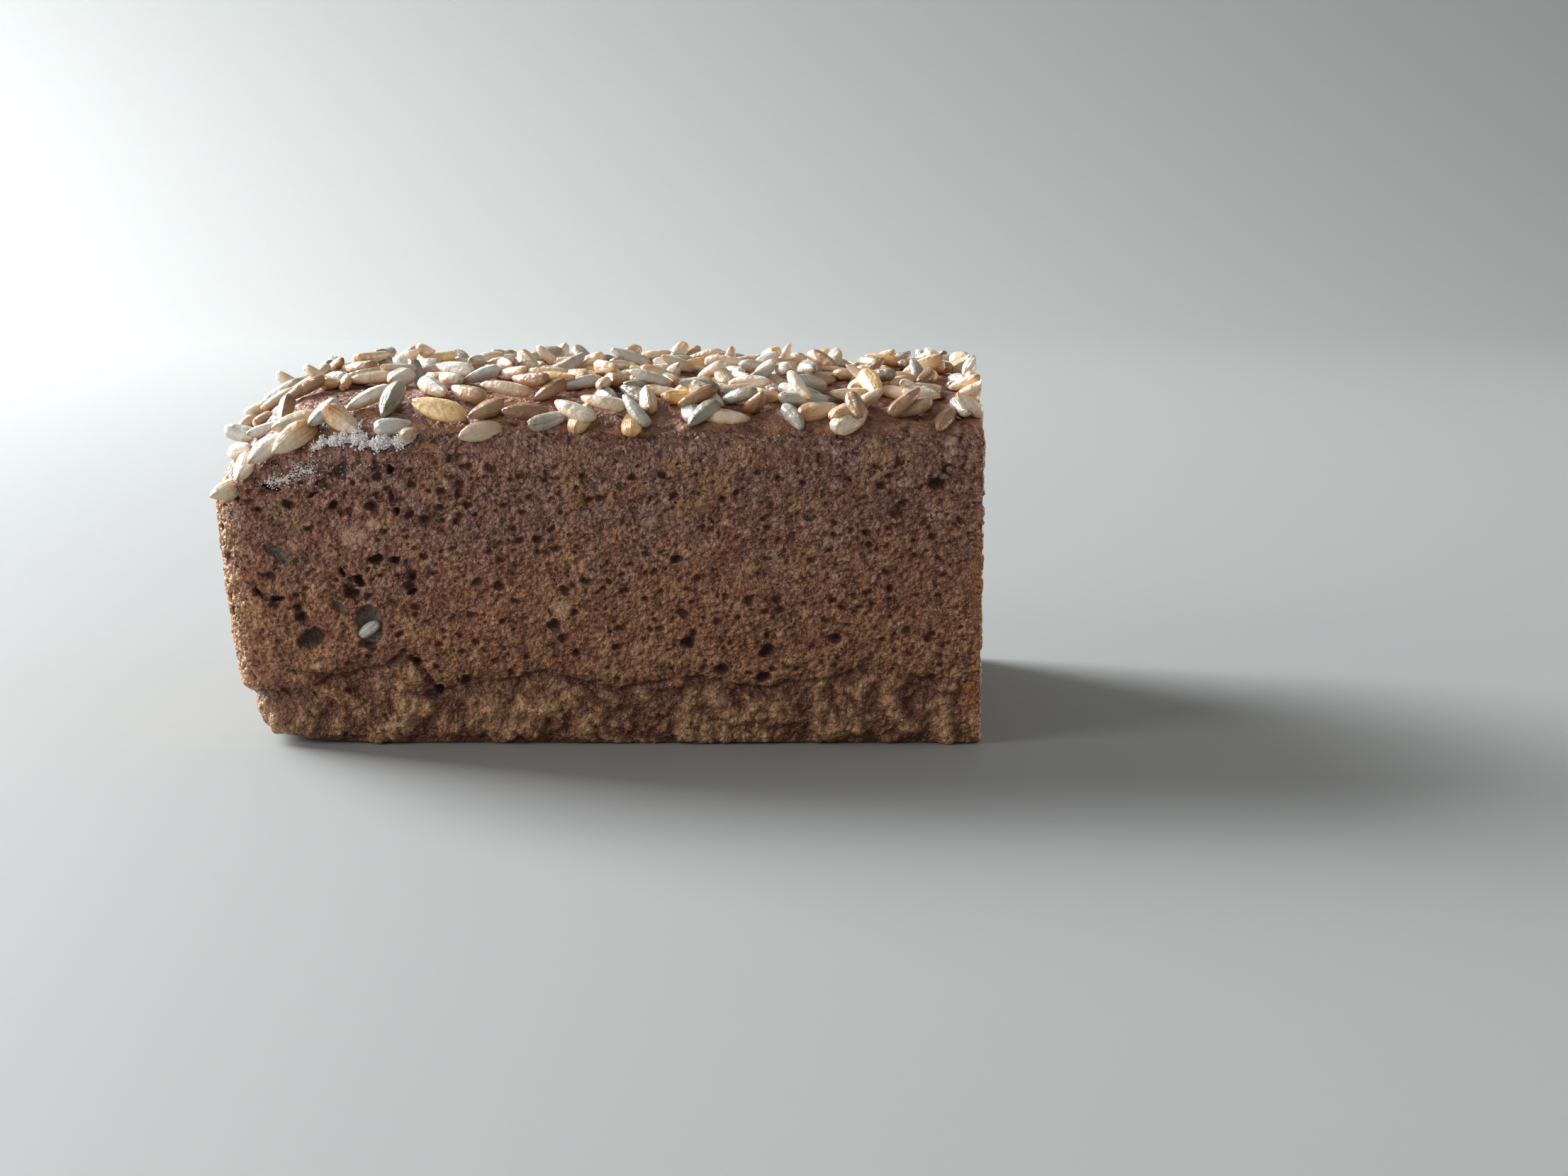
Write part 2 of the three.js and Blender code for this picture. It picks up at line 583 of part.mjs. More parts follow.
// A closed geometry as a solid.
function toSolid(geometry) {
  const bare = geometry.index ? geometry.toNonIndexed() : geometry.clone();
  bare.deleteAttribute("normal");
  bare.deleteAttribute("uv");
  const merged = mergeVertices(bare, 1e-4);
  return new wasm.Manifold(
    new wasm.Mesh({
      numProp: 3,
      vertProperties: merged.attributes.position.array,
      triVerts: new Uint32Array(merged.index.array),
    }),
  );
}

function toGeometry(solid) {
  const mesh = solid.getMesh();
  const made = new THREE.BufferGeometry();
  made.setAttribute("position", new THREE.BufferAttribute(mesh.vertProperties, 3));
  made.setIndex(new THREE.BufferAttribute(mesh.triVerts, 1));
  made.computeVertexNormals();
  return made;
}

// Everything beyond the knife's cut.
function beyondCut() {
  const depth = 40;
  const block = new THREE.BoxGeometry(depth, 3 * TOP_WIDTH, 4 * CROWN_HEIGHT);
  return toSolid(block.translate(CUT_X + depth / 2, 0, 0));
}

// The loaf: body less its hollows, with the top's kernels cut off at the knife's plane and the cut's own
// kernels added last.
function loafSolid() {
  let solid = toSolid(bodyGeometry());
  for (const pit of [...crustHollows(), ...cutPores()]) solid = solid.subtract(toSolid(pit));
  for (const kernel of topKernelGeometries()) solid = solid.add(toSolid(kernel));
  solid = solid.subtract(beyondCut());
  for (const kernel of cutKernelGeometries()) solid = solid.add(toSolid(kernel));
  const bodies = solid.decompose().sort((one, other) => other.volume() - one.volume());
  return bodies[0];
}

const bakedCrust = new THREE.MeshStandardMaterial({ color: 0x9a6a4c, roughness: 0.8, metalness: 0 });
const loaf = new THREE.Mesh(toGeometry(loafSolid()), bakedCrust);
loaf.name = "loaf";

const bread = new THREE.Group();
bread.add(loaf);

export default bread;
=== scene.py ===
"""Looks of the seeded rye loaf: porous pan crust, baked top, knife-cut crumb and sunflower kernels.

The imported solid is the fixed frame. Shapes are worked out in millimetres on numpy grids and written to
Blender in metres. X runs from the heel to the knife's cut, Y from the near long side to the far one, Z up.
"""

import math

import bpy
import numpy as np
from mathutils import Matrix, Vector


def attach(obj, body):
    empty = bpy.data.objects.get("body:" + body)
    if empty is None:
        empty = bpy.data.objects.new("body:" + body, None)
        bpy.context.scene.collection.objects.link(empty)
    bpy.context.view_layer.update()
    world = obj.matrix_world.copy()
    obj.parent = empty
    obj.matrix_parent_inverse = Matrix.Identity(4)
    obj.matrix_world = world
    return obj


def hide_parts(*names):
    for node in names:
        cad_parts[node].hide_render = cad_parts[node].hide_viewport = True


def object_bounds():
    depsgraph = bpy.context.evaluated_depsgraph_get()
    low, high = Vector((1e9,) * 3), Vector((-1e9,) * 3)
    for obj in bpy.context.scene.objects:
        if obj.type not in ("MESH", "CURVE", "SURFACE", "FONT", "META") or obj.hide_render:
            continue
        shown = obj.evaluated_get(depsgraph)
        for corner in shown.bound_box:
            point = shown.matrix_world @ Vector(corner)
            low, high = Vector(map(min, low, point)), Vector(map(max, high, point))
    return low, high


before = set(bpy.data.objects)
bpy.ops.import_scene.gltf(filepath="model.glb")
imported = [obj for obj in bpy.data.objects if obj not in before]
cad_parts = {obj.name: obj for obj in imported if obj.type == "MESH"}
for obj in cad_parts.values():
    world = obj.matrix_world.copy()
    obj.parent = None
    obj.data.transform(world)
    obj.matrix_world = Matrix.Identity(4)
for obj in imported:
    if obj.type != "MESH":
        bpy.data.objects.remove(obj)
cad_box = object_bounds()

MM = 0.001

# ---- driving dimensions, in millimetres: those of the solid ----

LENGTH = 152.0
BASE_WIDTH = 99.0
TOP_WIDTH = 104.5
SHOULDER_HEIGHT = 57.0
CROWN_HEIGHT = 70.5
HEEL_LEAN = 5.2
HEEL_LEAN_HEIGHT = 49.0
HEEL_STEP = 1.9
HEEL_STEP_HEIGHT = 9.8
HEEL_STEP_RUN = 1.2
HEEL_CORNER_RADIUS = 9.0
BASE_ROUNDING = 2.8
CORNER_LIFT = 4.0
CORNER_LIFT_LENGTH = 15.3
CORNER_LIFT_WIDTH = 18.0
CORNER_LIFT_HEIGHT = 24.0
CORNER_DROP = 10.5
CORNER_DROP_LENGTH = 11.0
CORNER_DROP_WIDTH = 36.0
SIDE_RUN = TOP_WIDTH / 2
HEEL_RUN = 34.0
DOME_POWER = 2.3
SWELL = 0.7
WALL_SWELL = 0.45

KERNEL_LENGTH = 9.8
KERNEL_WIDTH = 4.6
KERNEL_THICKNESS = 2.7
KERNEL_WIDEST = 0.59
TOP_KERNELS = 154
RIM_KERNELS = 21
STANDING_SHARE = 0.07
KERNEL_ROOM = 5.0
RIM_INSET = 1.8
CUT_KERNELS = 26

HEEL_X = -LENGTH / 2
CUT_X = LENGTH / 2

# ---- what the solid leaves to this script ----

RIM_LINE = 2.9  # the pan crust ends about this far inside the shoulder's outline
EDGE_GAP = 0.45  # the crust ends this far short of the knife's plane
CRUST_EDGE = 0.8  # width of the crust's own edge round the cut
RECESS = 7.0  # depth of the room for the crumb behind the cut
FILL_KERNELS = 233  # kernels lying between and on those of the solid
CRUMB_KERNELS = 84  # kernels bared by the knife, the solid's first
FULL_PIT = 1.2  # a pore of the pan crust this deep gets the full painted shade of a pit
FULL_CRUMB_PIT = 1.8  # and one of the crumb
LOWEST = 0.02  # no point of the wall dips below this height
SECTION_MIDDLE = (0.0, 0.0, 32.0)  # the crust's edge round the cut turns in towards this y and z


# ---- numbers by rule ----


def mix(low, high, share):
    """The value at a share of the way from low to high."""
    return low + (high - low) * share


def smooth_step(low, high, value):
    """0 below low, 1 above high, and an S-curve between them."""
    share = np.clip((value - low) / (high - low), 0.0, 1.0)
    return share * share * (3 - 2 * share)


def seeded_draws(seed):
    """A stream of numbers from 0 to 1, the same one as the solid uses."""
    state = seed & 0xFFFFFFFF
    while True:
        state = (state + 0x6D2B79F5) & 0xFFFFFFFF
        mixed = ((state ^ (state >> 15)) * (state | 1)) & 0xFFFFFFFF
        mixed ^= (mixed + ((mixed ^ (mixed >> 7)) * (mixed | 61))) & 0xFFFFFFFF
        yield ((mixed ^ (mixed >> 14)) & 0xFFFFFFFF) / 4294967296


def even_spread(n):
    """The n-th point of an even spread over a unit square."""
    return (0.5 + n * 0.7548776662466927) % 1, (0.5 + n * 0.5698402909980532) % 1


def lattice_draw(i, j, k, seed):
    """A number from 0 to 1 for each cell of a lattice, by mixing the bits of its whole coordinates."""
    parts = [np.asarray(n).astype(np.int64).astype(np.uint32) for n in (i, j, k)]
    bits = parts[0] * np.uint32(73856093)
    bits = bits ^ (parts[1] * np.uint32(19349663))
    bits = bits ^ (parts[2] * np.uint32(83492791))
    bits = bits ^ np.uint32((seed * 2654435761) & 0xFFFFFFFF)
    for shift, factor in ((15, 0x2C1B3C6D), (12, 0x297A2D39)):
        bits = (bits ^ (bits >> np.uint32(shift))) * np.uint32(factor)
    return (bits ^ (bits >> np.uint32(15))) / 4294967295.0


def waves(u, v, size, seed, layers=3):
    """Rolling noise from -1 to 1: lattice values blended by S-curves, in layers of half the size and strength
    each."""
    total = np.zeros(np.broadcast(u, v).shape)
    weight = 0.0
    for layer in range(layers):
        scaled_u = u / size * 2**layer + 17.3 * layer
        scaled_v = v / size * 2**layer + 9.1 * layer
        cell_u, cell_v = np.floor(scaled_u), np.floor(scaled_v)
        share_u = smooth_step(0, 1, scaled_u - cell_u)
        share_v = smooth_step(0, 1, scaled_v - cell_v)
        corner = [[lattice_draw(cell_u + a, cell_v + b, layer, seed) for b in (0, 1)] for a in (0, 1)]
        low = mix(corner[0][0], corner[1][0], share_u)
        high = mix(corner[0][1], corner[1][1], share_u)
        total += (2 * mix(low, high, share_v) - 1) / 2**layer
        weight += 1 / 2**layer
    return total / weight


def pores(u, v, cell, smallest, largest, share, seed, sharpness=0.6):
    """Depth of round hollows: each square cell may hold one bowl, of a drawn place and radius, and the
    deepest bowl over a point counts. A bowl's depth is its radius times (1 - (distance / radius)^2) to the
    power of the sharpness."""
    depth = np.zeros(np.broadcast(u, v).shape)
    cell_u, cell_v = np.floor(u / cell), np.floor(v / cell)
    for step_u in (-1, 0, 1):
        for step_v in (-1, 0, 1):
            i, j = cell_u + step_u, cell_v + step_v
            away_u = u - (i + lattice_draw(i, j, 1, seed)) * cell
            away_v = v - (j + lattice_draw(i, j, 2, seed)) * cell
            radius = mix(smallest, largest, lattice_draw(i, j, 3, seed) ** 2)
            inside = np.clip(1 - (away_u**2 + away_v**2) / radius**2, 0, 1)
            there = lattice_draw(i, j, 4, seed) < share
            depth = np.maximum(depth, np.where(there, radius * inside**sharpness, 0))
    return depth


def bubbles(u, v, sizes):
    """Depth of hollows of several sizes, of which the deepest counts. Each row of sizes is a strength, which
    the bowl's depth is multiplied by, and then cell, smallest, largest, share and seed of its pores."""
    depth = 0.0
    for strength, *row in sizes:
        depth = np.maximum(depth, strength * pores(u, v, *row))
    return depth


# ---- the loaf's form, as in the solid ----


def dome_share(inset, run):
    """Rise of the dome along a fuller quarter ellipse: (1 - (1 - inset / run)^p)^(1 / p)."""
    left = 1 - np.clip(inset / run, 0, 1)
    return (1 - left**DOME_POWER) ** (1 / DOME_POWER)


def shoulder_height(x, y):
    """Height of the shoulder line, lower by a bell curve round the near corner of the heel, which slumped."""
    along_x = (x - HEEL_X) / CORNER_DROP_LENGTH
    along_y = (y + TOP_WIDTH / 2) / CORNER_DROP_WIDTH
    return SHOULDER_HEIGHT - CORNER_DROP * np.exp(-(along_x**2) - along_y**2)


def top_height(x, y):
    """Height of the bare top: from the shoulder to the crown by the dome's rise, with slow waves."""
    share = dome_share(TOP_WIDTH / 2 - np.abs(y), SIDE_RUN) * dome_share(x - HEEL_X, HEEL_RUN)
    rolling = np.sin(x * 0.16 + y * 0.07 + 0.6) * np.sin(y * 0.15 - x * 0.05 + 2.1)
    return mix(shoulder_height(x, y), CROWN_HEIGHT, share) + SWELL * rolling * share


def half_width_at(z):
    """Half the body's width at a height: the draft is a power of the height."""
    return mix(BASE_WIDTH, TOP_WIDTH, np.clip(z / SHOULDER_HEIGHT, 0, 1) ** 0.7) / 2


def heel_at(z):
    """Place of the heel's face at a height: it leans out from its foot by a power of the height, with a
    smooth step on the way."""
    above = smooth_step(HEEL_STEP_HEIGHT - HEEL_STEP_RUN, HEEL_STEP_HEIGHT + HEEL_STEP_RUN, z)
    return HEEL_X + HEEL_LEAN * np.clip(1 - z / HEEL_LEAN_HEIGHT, 0, 1) ** 1.5 + HEEL_STEP * (1 - above)


def corner_lift(x, y, z):
    """How much higher the base and the wall lie round the near corner of the heel: a bell curve in plan that
    fades with the square of the height."""
    along_x = (x - HEEL_X) / CORNER_LIFT_LENGTH
    along_y = (y + BASE_WIDTH / 2) / CORNER_LIFT_WIDTH
    up_wall = np.clip(1 - z / CORNER_LIFT_HEIGHT, 0, 1)
    return CORNER_LIFT * np.exp(-(along_x**2) - along_y**2) * up_wall**2


def wall_wave(along, z):
    """Slow waves of the pan crust, none at the shoulder or the base."""
    middle = np.sin(np.pi * np.clip(z / SHOULDER_HEIGHT, 0, 1))
    return WALL_SWELL * middle * np.sin(along * 0.13 + 0.9) * np.sin(z * 0.17 + along * 0.03)


# ---- meshes ----


def outward(points):
    """Unit normals of a grid of points, from the cross product of its two central differences."""
    along = np.gradient(points, axis=1)
    up = np.gradient(points, axis=0)
    normal = np.cross(up, along)
    return normal / np.maximum(np.linalg.norm(normal, axis=2, keepdims=True), 1e-9)


def grid_faces(rows, columns, first=0):
    """Corner numbers of the quads of a grid whose points are numbered row by row."""
    i, j = np.meshgrid(np.arange(rows - 1), np.arange(columns - 1), indexing="ij")
    corner = first + i * columns + j
    return np.stack([corner, corner + 1, corner + columns + 1, corner + columns], axis=2).reshape(-1, 4)


def write_mesh(name, points, quads, triangles, attributes):
    """A mesh object at the origin from points in millimetres. Its faces are turned round if its volume is
    negative, so they point outwards."""
    points = np.asarray(points, float).reshape(-1, 3)
    quads = np.asarray(quads, np.int64).reshape(-1, 4)
    triangles = np.asarray(triangles, np.int64).reshape(-1, 3)
    halves = np.concatenate([quads[:, :3], quads[:, [0, 2, 3]], triangles])
    a, b, c = (points[halves[:, n]] for n in range(3))
    if np.einsum("ij,ij->i", a, np.cross(b, c)).sum() < 0:
        quads, triangles = quads[:, ::-1], triangles[:, ::-1]
    mesh = bpy.data.meshes.new(name)
    mesh.vertices.add(len(points))
    mesh.vertices.foreach_set("co", (points * MM).astype(np.float32).ravel())
    loops = np.concatenate([quads.ravel(), triangles.ravel()])
    starts = np.concatenate([np.arange(len(quads)) * 4, len(quads) * 4 + np.arange(len(triangles)) * 3])
    mesh.loops.add(len(loops))
    mesh.loops.foreach_set("vertex_index", loops.astype(np.int32))
    mesh.polygons.add(len(starts))
    mesh.polygons.foreach_set("loop_start", starts.astype(np.int32))
    mesh.polygons.foreach_set("use_smooth", np.full(len(starts), True))
    for key, values in attributes.items():
        layer = mesh.attributes.new(key, "FLOAT", "POINT")
        layer.data.foreach_set("value", np.asarray(values, np.float32).ravel())
    mesh.update(calc_edges=True)
    mesh.validate()
    piece = bpy.data.objects.new(name, mesh)
    bpy.context.scene.collection.objects.link(piece)
    return piece


# ---- closed pieces ----


def closed_tube(points):
    """Faces of a grid whose rows close into a loop, with a fan over each end. Rows run round the loop."""
    rows, columns = points.shape[:2]
    i, j = np.meshgrid(np.arange(rows), np.arange(columns - 1), indexing="ij")
    here, above = i * columns + j, (i + 1) % rows * columns + j
    quads = np.stack([here, here + 1, above + 1, above], axis=2).reshape(-1, 4)
    loop = np.arange(1, rows - 1) * columns
    start = np.stack([0 * loop, loop, loop + columns], axis=1)
    finish = np.stack([0 * loop, loop + columns, loop], axis=1) + columns - 1
    return quads, np.concatenate([start, finish])


def wrapped(field, before, after, axis):
    """A field on a grid with its first and last lines repeated."""
    width = [(0, 0), (0, 0)]
    width[axis] = (before, after)
    return np.pad(field, width, mode="edge")


# ---- pan crust: near side, heel, far side and base ----

NEAR_COLUMNS = (446, 44)  # along the near side and round the near corner
FAR_COLUMNS = (196, 22, 300)  # along the heel, round the far corner and along the far side
NEAR_ROWS = 172  # up the wall
FAR_ROWS = 112
BASE_ROWS, BASE_COLUMNS = 150, 100
PAN_FIELDS = ("pit", "lump", "foot", "pale", "grey", "edge")


def wall_path(part, share, half_width, heel_x, radius, cut_x):
    """Plan of the wall: straight side, quarter circle, straight heel, quarter circle, straight side, as parts
    0 to 4, each with a share from 0 to 1. Returns x and y."""
    angle = np.pi / 2 * np.where(part == 3, 1 - share, share)
    side_x = mix(cut_x, heel_x + radius, np.where(part == 4, 1 - share, share))
    arc_x = heel_x + radius * (1 - np.sin(angle))
    arc_y = half_width - radius * (1 - np.cos(angle))
    on_side = (part == 0) | (part == 4)
    x = np.where(on_side, side_x, np.where(part == 2, heel_x + 0 * side_x, arc_x))
    side_y = np.where(on_side, half_width + 0 * side_x, arc_y) * np.where(part < 2, -1.0, 1.0)
    y = np.where(part == 2, mix(-1.0, 1.0, share) * (half_width - radius), side_y)
    return x, y


def path_length(part, share):
    """Distance along the shoulder's path from the near side's cut."""
    side = LENGTH - HEEL_CORNER_RADIUS
    arc = np.pi / 2 * HEEL_CORNER_RADIUS
    heel = TOP_WIDTH - 2 * HEEL_CORNER_RADIUS
    lengths = np.array([side, arc, heel, arc, side])
    starts = np.concatenate([[0.0], np.cumsum(lengths)[:-1]])
    return starts[part] + share * lengths[part]


# Hollows of the near side: distance from the heel, height, half width, half height, depth, slope, greyness
NEAR_HOLLOWS = (
    (29.3, 24.8, 2.8, 3.9, 2.6, 0.15, 0.8),
    (17.5, 21.8, 2.7, 2.3, 1.7, 0.15, 0.1),
    (13.1, 38.3, 3.0, 1.4, 1.5, -0.45, 0.9),
    (24.0, 27.9, 1.5, 1.1, 1.2, -0.6, 0.7),
    (13.0, 51.7, 1.7, 0.8, 2.6, -0.4, 0.0),
    (26.6, 55.7, 1.3, 1.6, 1.5, 0.2, 0.3),
    (36.3, 55.5, 0.9, 1.0, 2.0, 0.0, 0.0),
    (33.5, 54.2, 1.1, 1.1, 1.2, 0.0, 0.2),
    (39.6, 52.2, 1.1, 0.8, 1.2, 0.0, 0.1),
    (23.9, 51.9, 0.9, 0.9, 1.0, 0.0, 0.2),
    (21.4, 52.6, 0.9, 0.5, 1.1, 0.1, 0.0),
    (20.4, 50.5, 1.4, 0.5, 1.3, 0.1, 0.0),
    (25.0, 48.5, 1.1, 0.9, 1.5, 0.0, 0.0),
    (28.0, 47.4, 0.9, 0.9, 1.0, 0.0, 0.1),
    (9.8, 47.4, 1.0, 0.7, 1.2, -0.2, 0.0),
    (36.7, 47.5, 0.9, 0.7, 1.7, 0.0, 0.0),
    (36.0, 50.4, 0.6, 1.2, 1.2, 0.3, 0.0),
    (33.4, 50.2, 0.5, 1.0, 1.0, 0.0, 0.0),
    (39.5, 46.4, 1.2, 0.7, 1.1, 0.2, 0.0),
    (19.6, 44.0, 1.2, 0.6, 1.0, 0.2, 0.1),
    (32.1, 37.7, 1.9, 0.8, 2.0, 0.1, 0.0),
    (35.8, 37.6, 1.2, 0.7, 1.9, 0.0, 0.0),
    (39.2, 34.2, 1.2, 0.9, 1.6, 0.2, 0.0),
    (39.2, 31.1, 1.0, 0.8, 1.9, 0.2, 0.0),
    (28.2, 33.3, 1.2, 1.0, 2.1, -0.4, 0.0),
    (25.2, 35.0, 1.0, 0.8, 1.5, -0.2, 0.0),
    (25.4, 32.4, 0.6, 0.5, 1.3, 0.0, 0.0),
    (29.8, 30.2, 1.5, 0.8, 1.2, 0.3, 0.2),
    (11.0, 34.3, 1.7, 0.6, 1.2, 0.0, 0.1),
    (8.0, 30.9, 1.2, 0.9, 1.5, -0.3, 0.0),
    (11.7, 29.7, 1.6, 0.8, 1.9, 0.1, 0.0),
    (16.1, 27.7, 0.8, 0.9, 1.4, 0.0, 0.0),
    (7.0, 21.8, 1.2, 1.6, 0.5, 0.0, 0.0),
    (29.6, 19.6, 0.8, 0.7, 1.2, 0.0, 0.0),
    (28.2, 17.8, 1.0, 0.7, 1.1, 0.0, 0.0),
    (23.8, 16.6, 1.1, 0.5, 1.0, 0.0, 0.0),
    (34.9, 22.4, 1.0, 0.6, 1.0, 0.2, 0.0),
    (38.3, 17.5, 1.2, 0.9, 1.5, -0.3, 0.0),
    (41.9, 11.0, 1.0, 1.1, 2.6, 0.0, 0.0),
    (40.4, 10.0, 2.6, 1.2, 1.2, 0.2, 0.2),
    (23.2, 10.7, 1.0, 0.6, 1.2, 0.4, 0.0),
)
# Kernels and pale crumb that show through the near side's crust: distance from the heel, height, half width
# and half height
PALE_OVALS = ((28.3, 42.3, 3.4, 2.5), (32.2, 44.9, 1.7, 1.4), (33.4, 52.6, 1.8, 1.1), (17.9, 16.2, 1.0, 0.8))
# The line where the coarse foot begins: distance from the heel and height
FOOT_LINE = (
    (0.0, 10.4),
    (7.0, 11.3),
    (12.0, 11.3),
    (15.5, 10.9),
    (17.5, 13.4),
    (22.7, 14.6),
    (28.4, 16.0),
    (31.6, 17.1),
    (34.1, 18.5),
    (37.2, 18.2),
    (39.2, 15.7),
    (42.0, 11.4),
    (50.0, 12.6),
    (63.0, 15.2),
    (78.0, 11.6),
    (92.0, 14.4),
    (109.0, 12.0),
    (128.0, 15.6),
    (152.0, 12.8),
    (400.0, 12.6),
)
LISTED_REACH = 46.0  # pale places this near the heel are the listed ones alone
# A light fold of skin on the foot, and a crease over its lip: corners as distance from the heel and height
FOOT_FOLD = ((36.5, 9.6), (33.7, 6.7), (31.6, 4.3), (27.6, 3.7))
LIP_CREASE = ((12.6, 15.2), (16.0, 14.6), (20.0, 14.1))


def ovals(from_heel, z, rows):
    """Depth of tilted oval bowls, and their greyness: a bowl is as deep as the root of how far inside its
    oval a point lies, and the deepest counts."""
    depth, grey = np.zeros(from_heel.shape), np.zeros(from_heel.shape)
    for centre, height, wide, high, deep, slope, greyness in rows:
        away = from_heel - centre
        lift = z - height - slope * away
        inside = np.clip(1.0 - (away / wide) ** 2 - (lift / high) ** 2, 0, 1)
        depth = np.maximum(depth, deep * inside**0.5)
        grey = np.maximum(grey, greyness * smooth_step(0.0, 0.3, inside))
    return depth, grey


def near_line(from_heel, z, corners, width):
    """1 on a line through the given corners, falling off over a width as a bell."""
    nearest = np.full(from_heel.shape, np.inf)
    for (x0, z0), (x1, z1) in zip(corners[:-1], corners[1:]):
        run, rise = x1 - x0, z1 - z0
        share = np.clip(((from_heel - x0) * run + (z - z0) * rise) / (run**2 + rise**2), 0, 1)
        nearest = np.minimum(nearest, np.hypot(from_heel - x0 - share * run, z - z0 - share * rise))
    return np.exp(-((nearest / width) ** 2))


def sponge(u, v, seed, share=1.0):
    """Depth of flattened, irregular pores of four sizes on a plane that is warped by noise, so that none is
    round and neighbours run together. The share thins out all but the tiny ones."""
    wide = u + 0.5 * waves(u, v, 1.1, seed, 2) + 0.6 * waves(u, v, 3.0, seed + 1, 2)
    high = 1.45 * (v + 0.35 * waves(u, v, 1.2, seed + 2, 2) + 0.4 * waves(u, v, 3.0, seed + 3, 2))
    sizes = (
        (0.75, 1.05, 0.28, 0.62, 0.9, seed + 4),
        (0.8, 2.1, 0.5, 1.15, 0.55 * share, seed + 5),
        (0.75, 4.6, 0.8, 1.8, 0.38 * share, seed + 6),
        (0.6, 12.0, 1.4, 2.9, 0.3 * share, seed + 7),
    )
    return bubbles(wide, high, sizes)


def pan_relief(path, z, part):
    """The pan crust's relief at distances along the wall's path and at heights: depth of its pores, lumps of
    its skin, share of coarse foot, paleness, greyness and nearness to the heel's near edge. Lumps are sums of
    rolling noise, and single folds and creases fall off as bell curves."""
    near = part < 2
    from_heel = np.abs(path - LENGTH)
    onward = smooth_step(LENGTH, LENGTH + 5.0, path)  # 0 on the near side, 1 on the heel and after it
    line = np.interp(from_heel, *np.array(FOOT_LINE).T) + 0.8 * waves(path, z, 2.4, 36, 2)
    below = line - z
    foot = smooth_step(-0.1, 0.5, below)
    past = path - LENGTH - 1.0
    edge = np.exp(-((past / np.where(past < 0, 4.0, 13.0)) ** 2)) * smooth_step(0.0, 6.0, z)
    # What is listed by place lies on a plane bent by noise, so that its outlines are ragged
    bent_u = from_heel + 0.6 * waves(path, z, 1.5, 41, 3) + 0.6 * waves(path, z, 4.0, 48, 1)
    bent_z = z + 0.55 * waves(path, z, 1.2, 42, 3) + 0.5 * waves(path, z, 3.6, 49, 1)
    hollows, grey = ovals(bent_u, bent_z, NEAR_HOLLOWS)
    depth = sponge(path, z, 31, mix(0.45, 0.8, onward)) * mix(1.0, 0.3, foot)
    depth = np.maximum(depth, 0.85 * hollows * near)
    # The skin sinks under the foot's line and along it, and in the crease over its lip
    crease = foot * np.exp(-np.maximum(below, 0) / 1.5) + 0.15 * foot
    crease = crease + 0.45 * smooth_step(6.0, 11.0, from_heel) * np.exp(-(((below + 0.4) / 1.1) ** 2))
    crease = crease + 0.7 * near * near_line(bent_u, bent_z, LIP_CREASE, 0.6)
    lumps = 0.22 * waves(path, z, 1.0, 38, 3) + 0.24 * waves(path, z, 2.6, 39, 2)
    lumps = lumps + 0.22 * waves(path, z, 6.5, 40, 1)
    beads = pores(path + 0.3 * waves(path, z, 0.9, 45, 1), z, 1.7, 0.5, 1.15, 0.7, 43, 0.8)
    coarse = 0.5 * beads * (1 - 0.7 * edge) + 1.1 * waves(path, z, 3.6, 44, 2) * (1 - 0.4 * edge)
    lumps = lumps + foot * (coarse - 0.15) - crease
    # A bulge at the bottom of the near corner, and a fold of skin on the foot
    lumps = lumps + 1.3 * (1 - onward) * np.exp(-(((from_heel - 1.5) / 5.5) ** 2) - ((z - 1.7) / 1.7) ** 2)
    fold = near * near_line(bent_u, bent_z, FOOT_FOLD, 0.5)
    # Pale places stand out a little and have few pores
    listed, _ = ovals(bent_u, bent_z, tuple(oval + (1.0, 0.15, 0.0) for oval in PALE_OVALS))
    scattered = pores(path, 1.6 * z, 17.0, 1.6, 3.4, 0.35, 46, 0.7) / 3.0
    pale = np.where(near & (from_heel < LISTED_REACH), listed, np.clip(scattered, 0, 1)) ** 2
    soft = smooth_step(0.0, 0.7, pale * (1 + 0.5 * waves(path, z, 1.2, 47, 2)))
    depth = depth * (1 - 0.75 * soft)
    lumps = lumps * (1 - 0.4 * soft) + 0.2 * soft + 0.6 * fold
    return depth, lumps, foot, np.maximum(soft, 1.2 * fold), grey * near, edge


def recessed(x):
    """Keeps hidden points clear of the room behind the cut: x past it is drawn back to it, in its order."""
    return np.minimum(x, CUT_X - RECESS + 0.5 + 0.05 * (x - CUT_X))


def rim_line(path):
    """How far inside the shoulder's outline the pan crust ends: it wanders, as dough rose over the tin's
    edge, and is wider round the slumped corner."""
    slumped = 2.4 * np.exp(-(((path - LENGTH + 11.0) / 9.0) ** 2))
    return RIM_LINE + slumped + 0.9 * waves(path, 0 * path, 5.0, 55, 3)


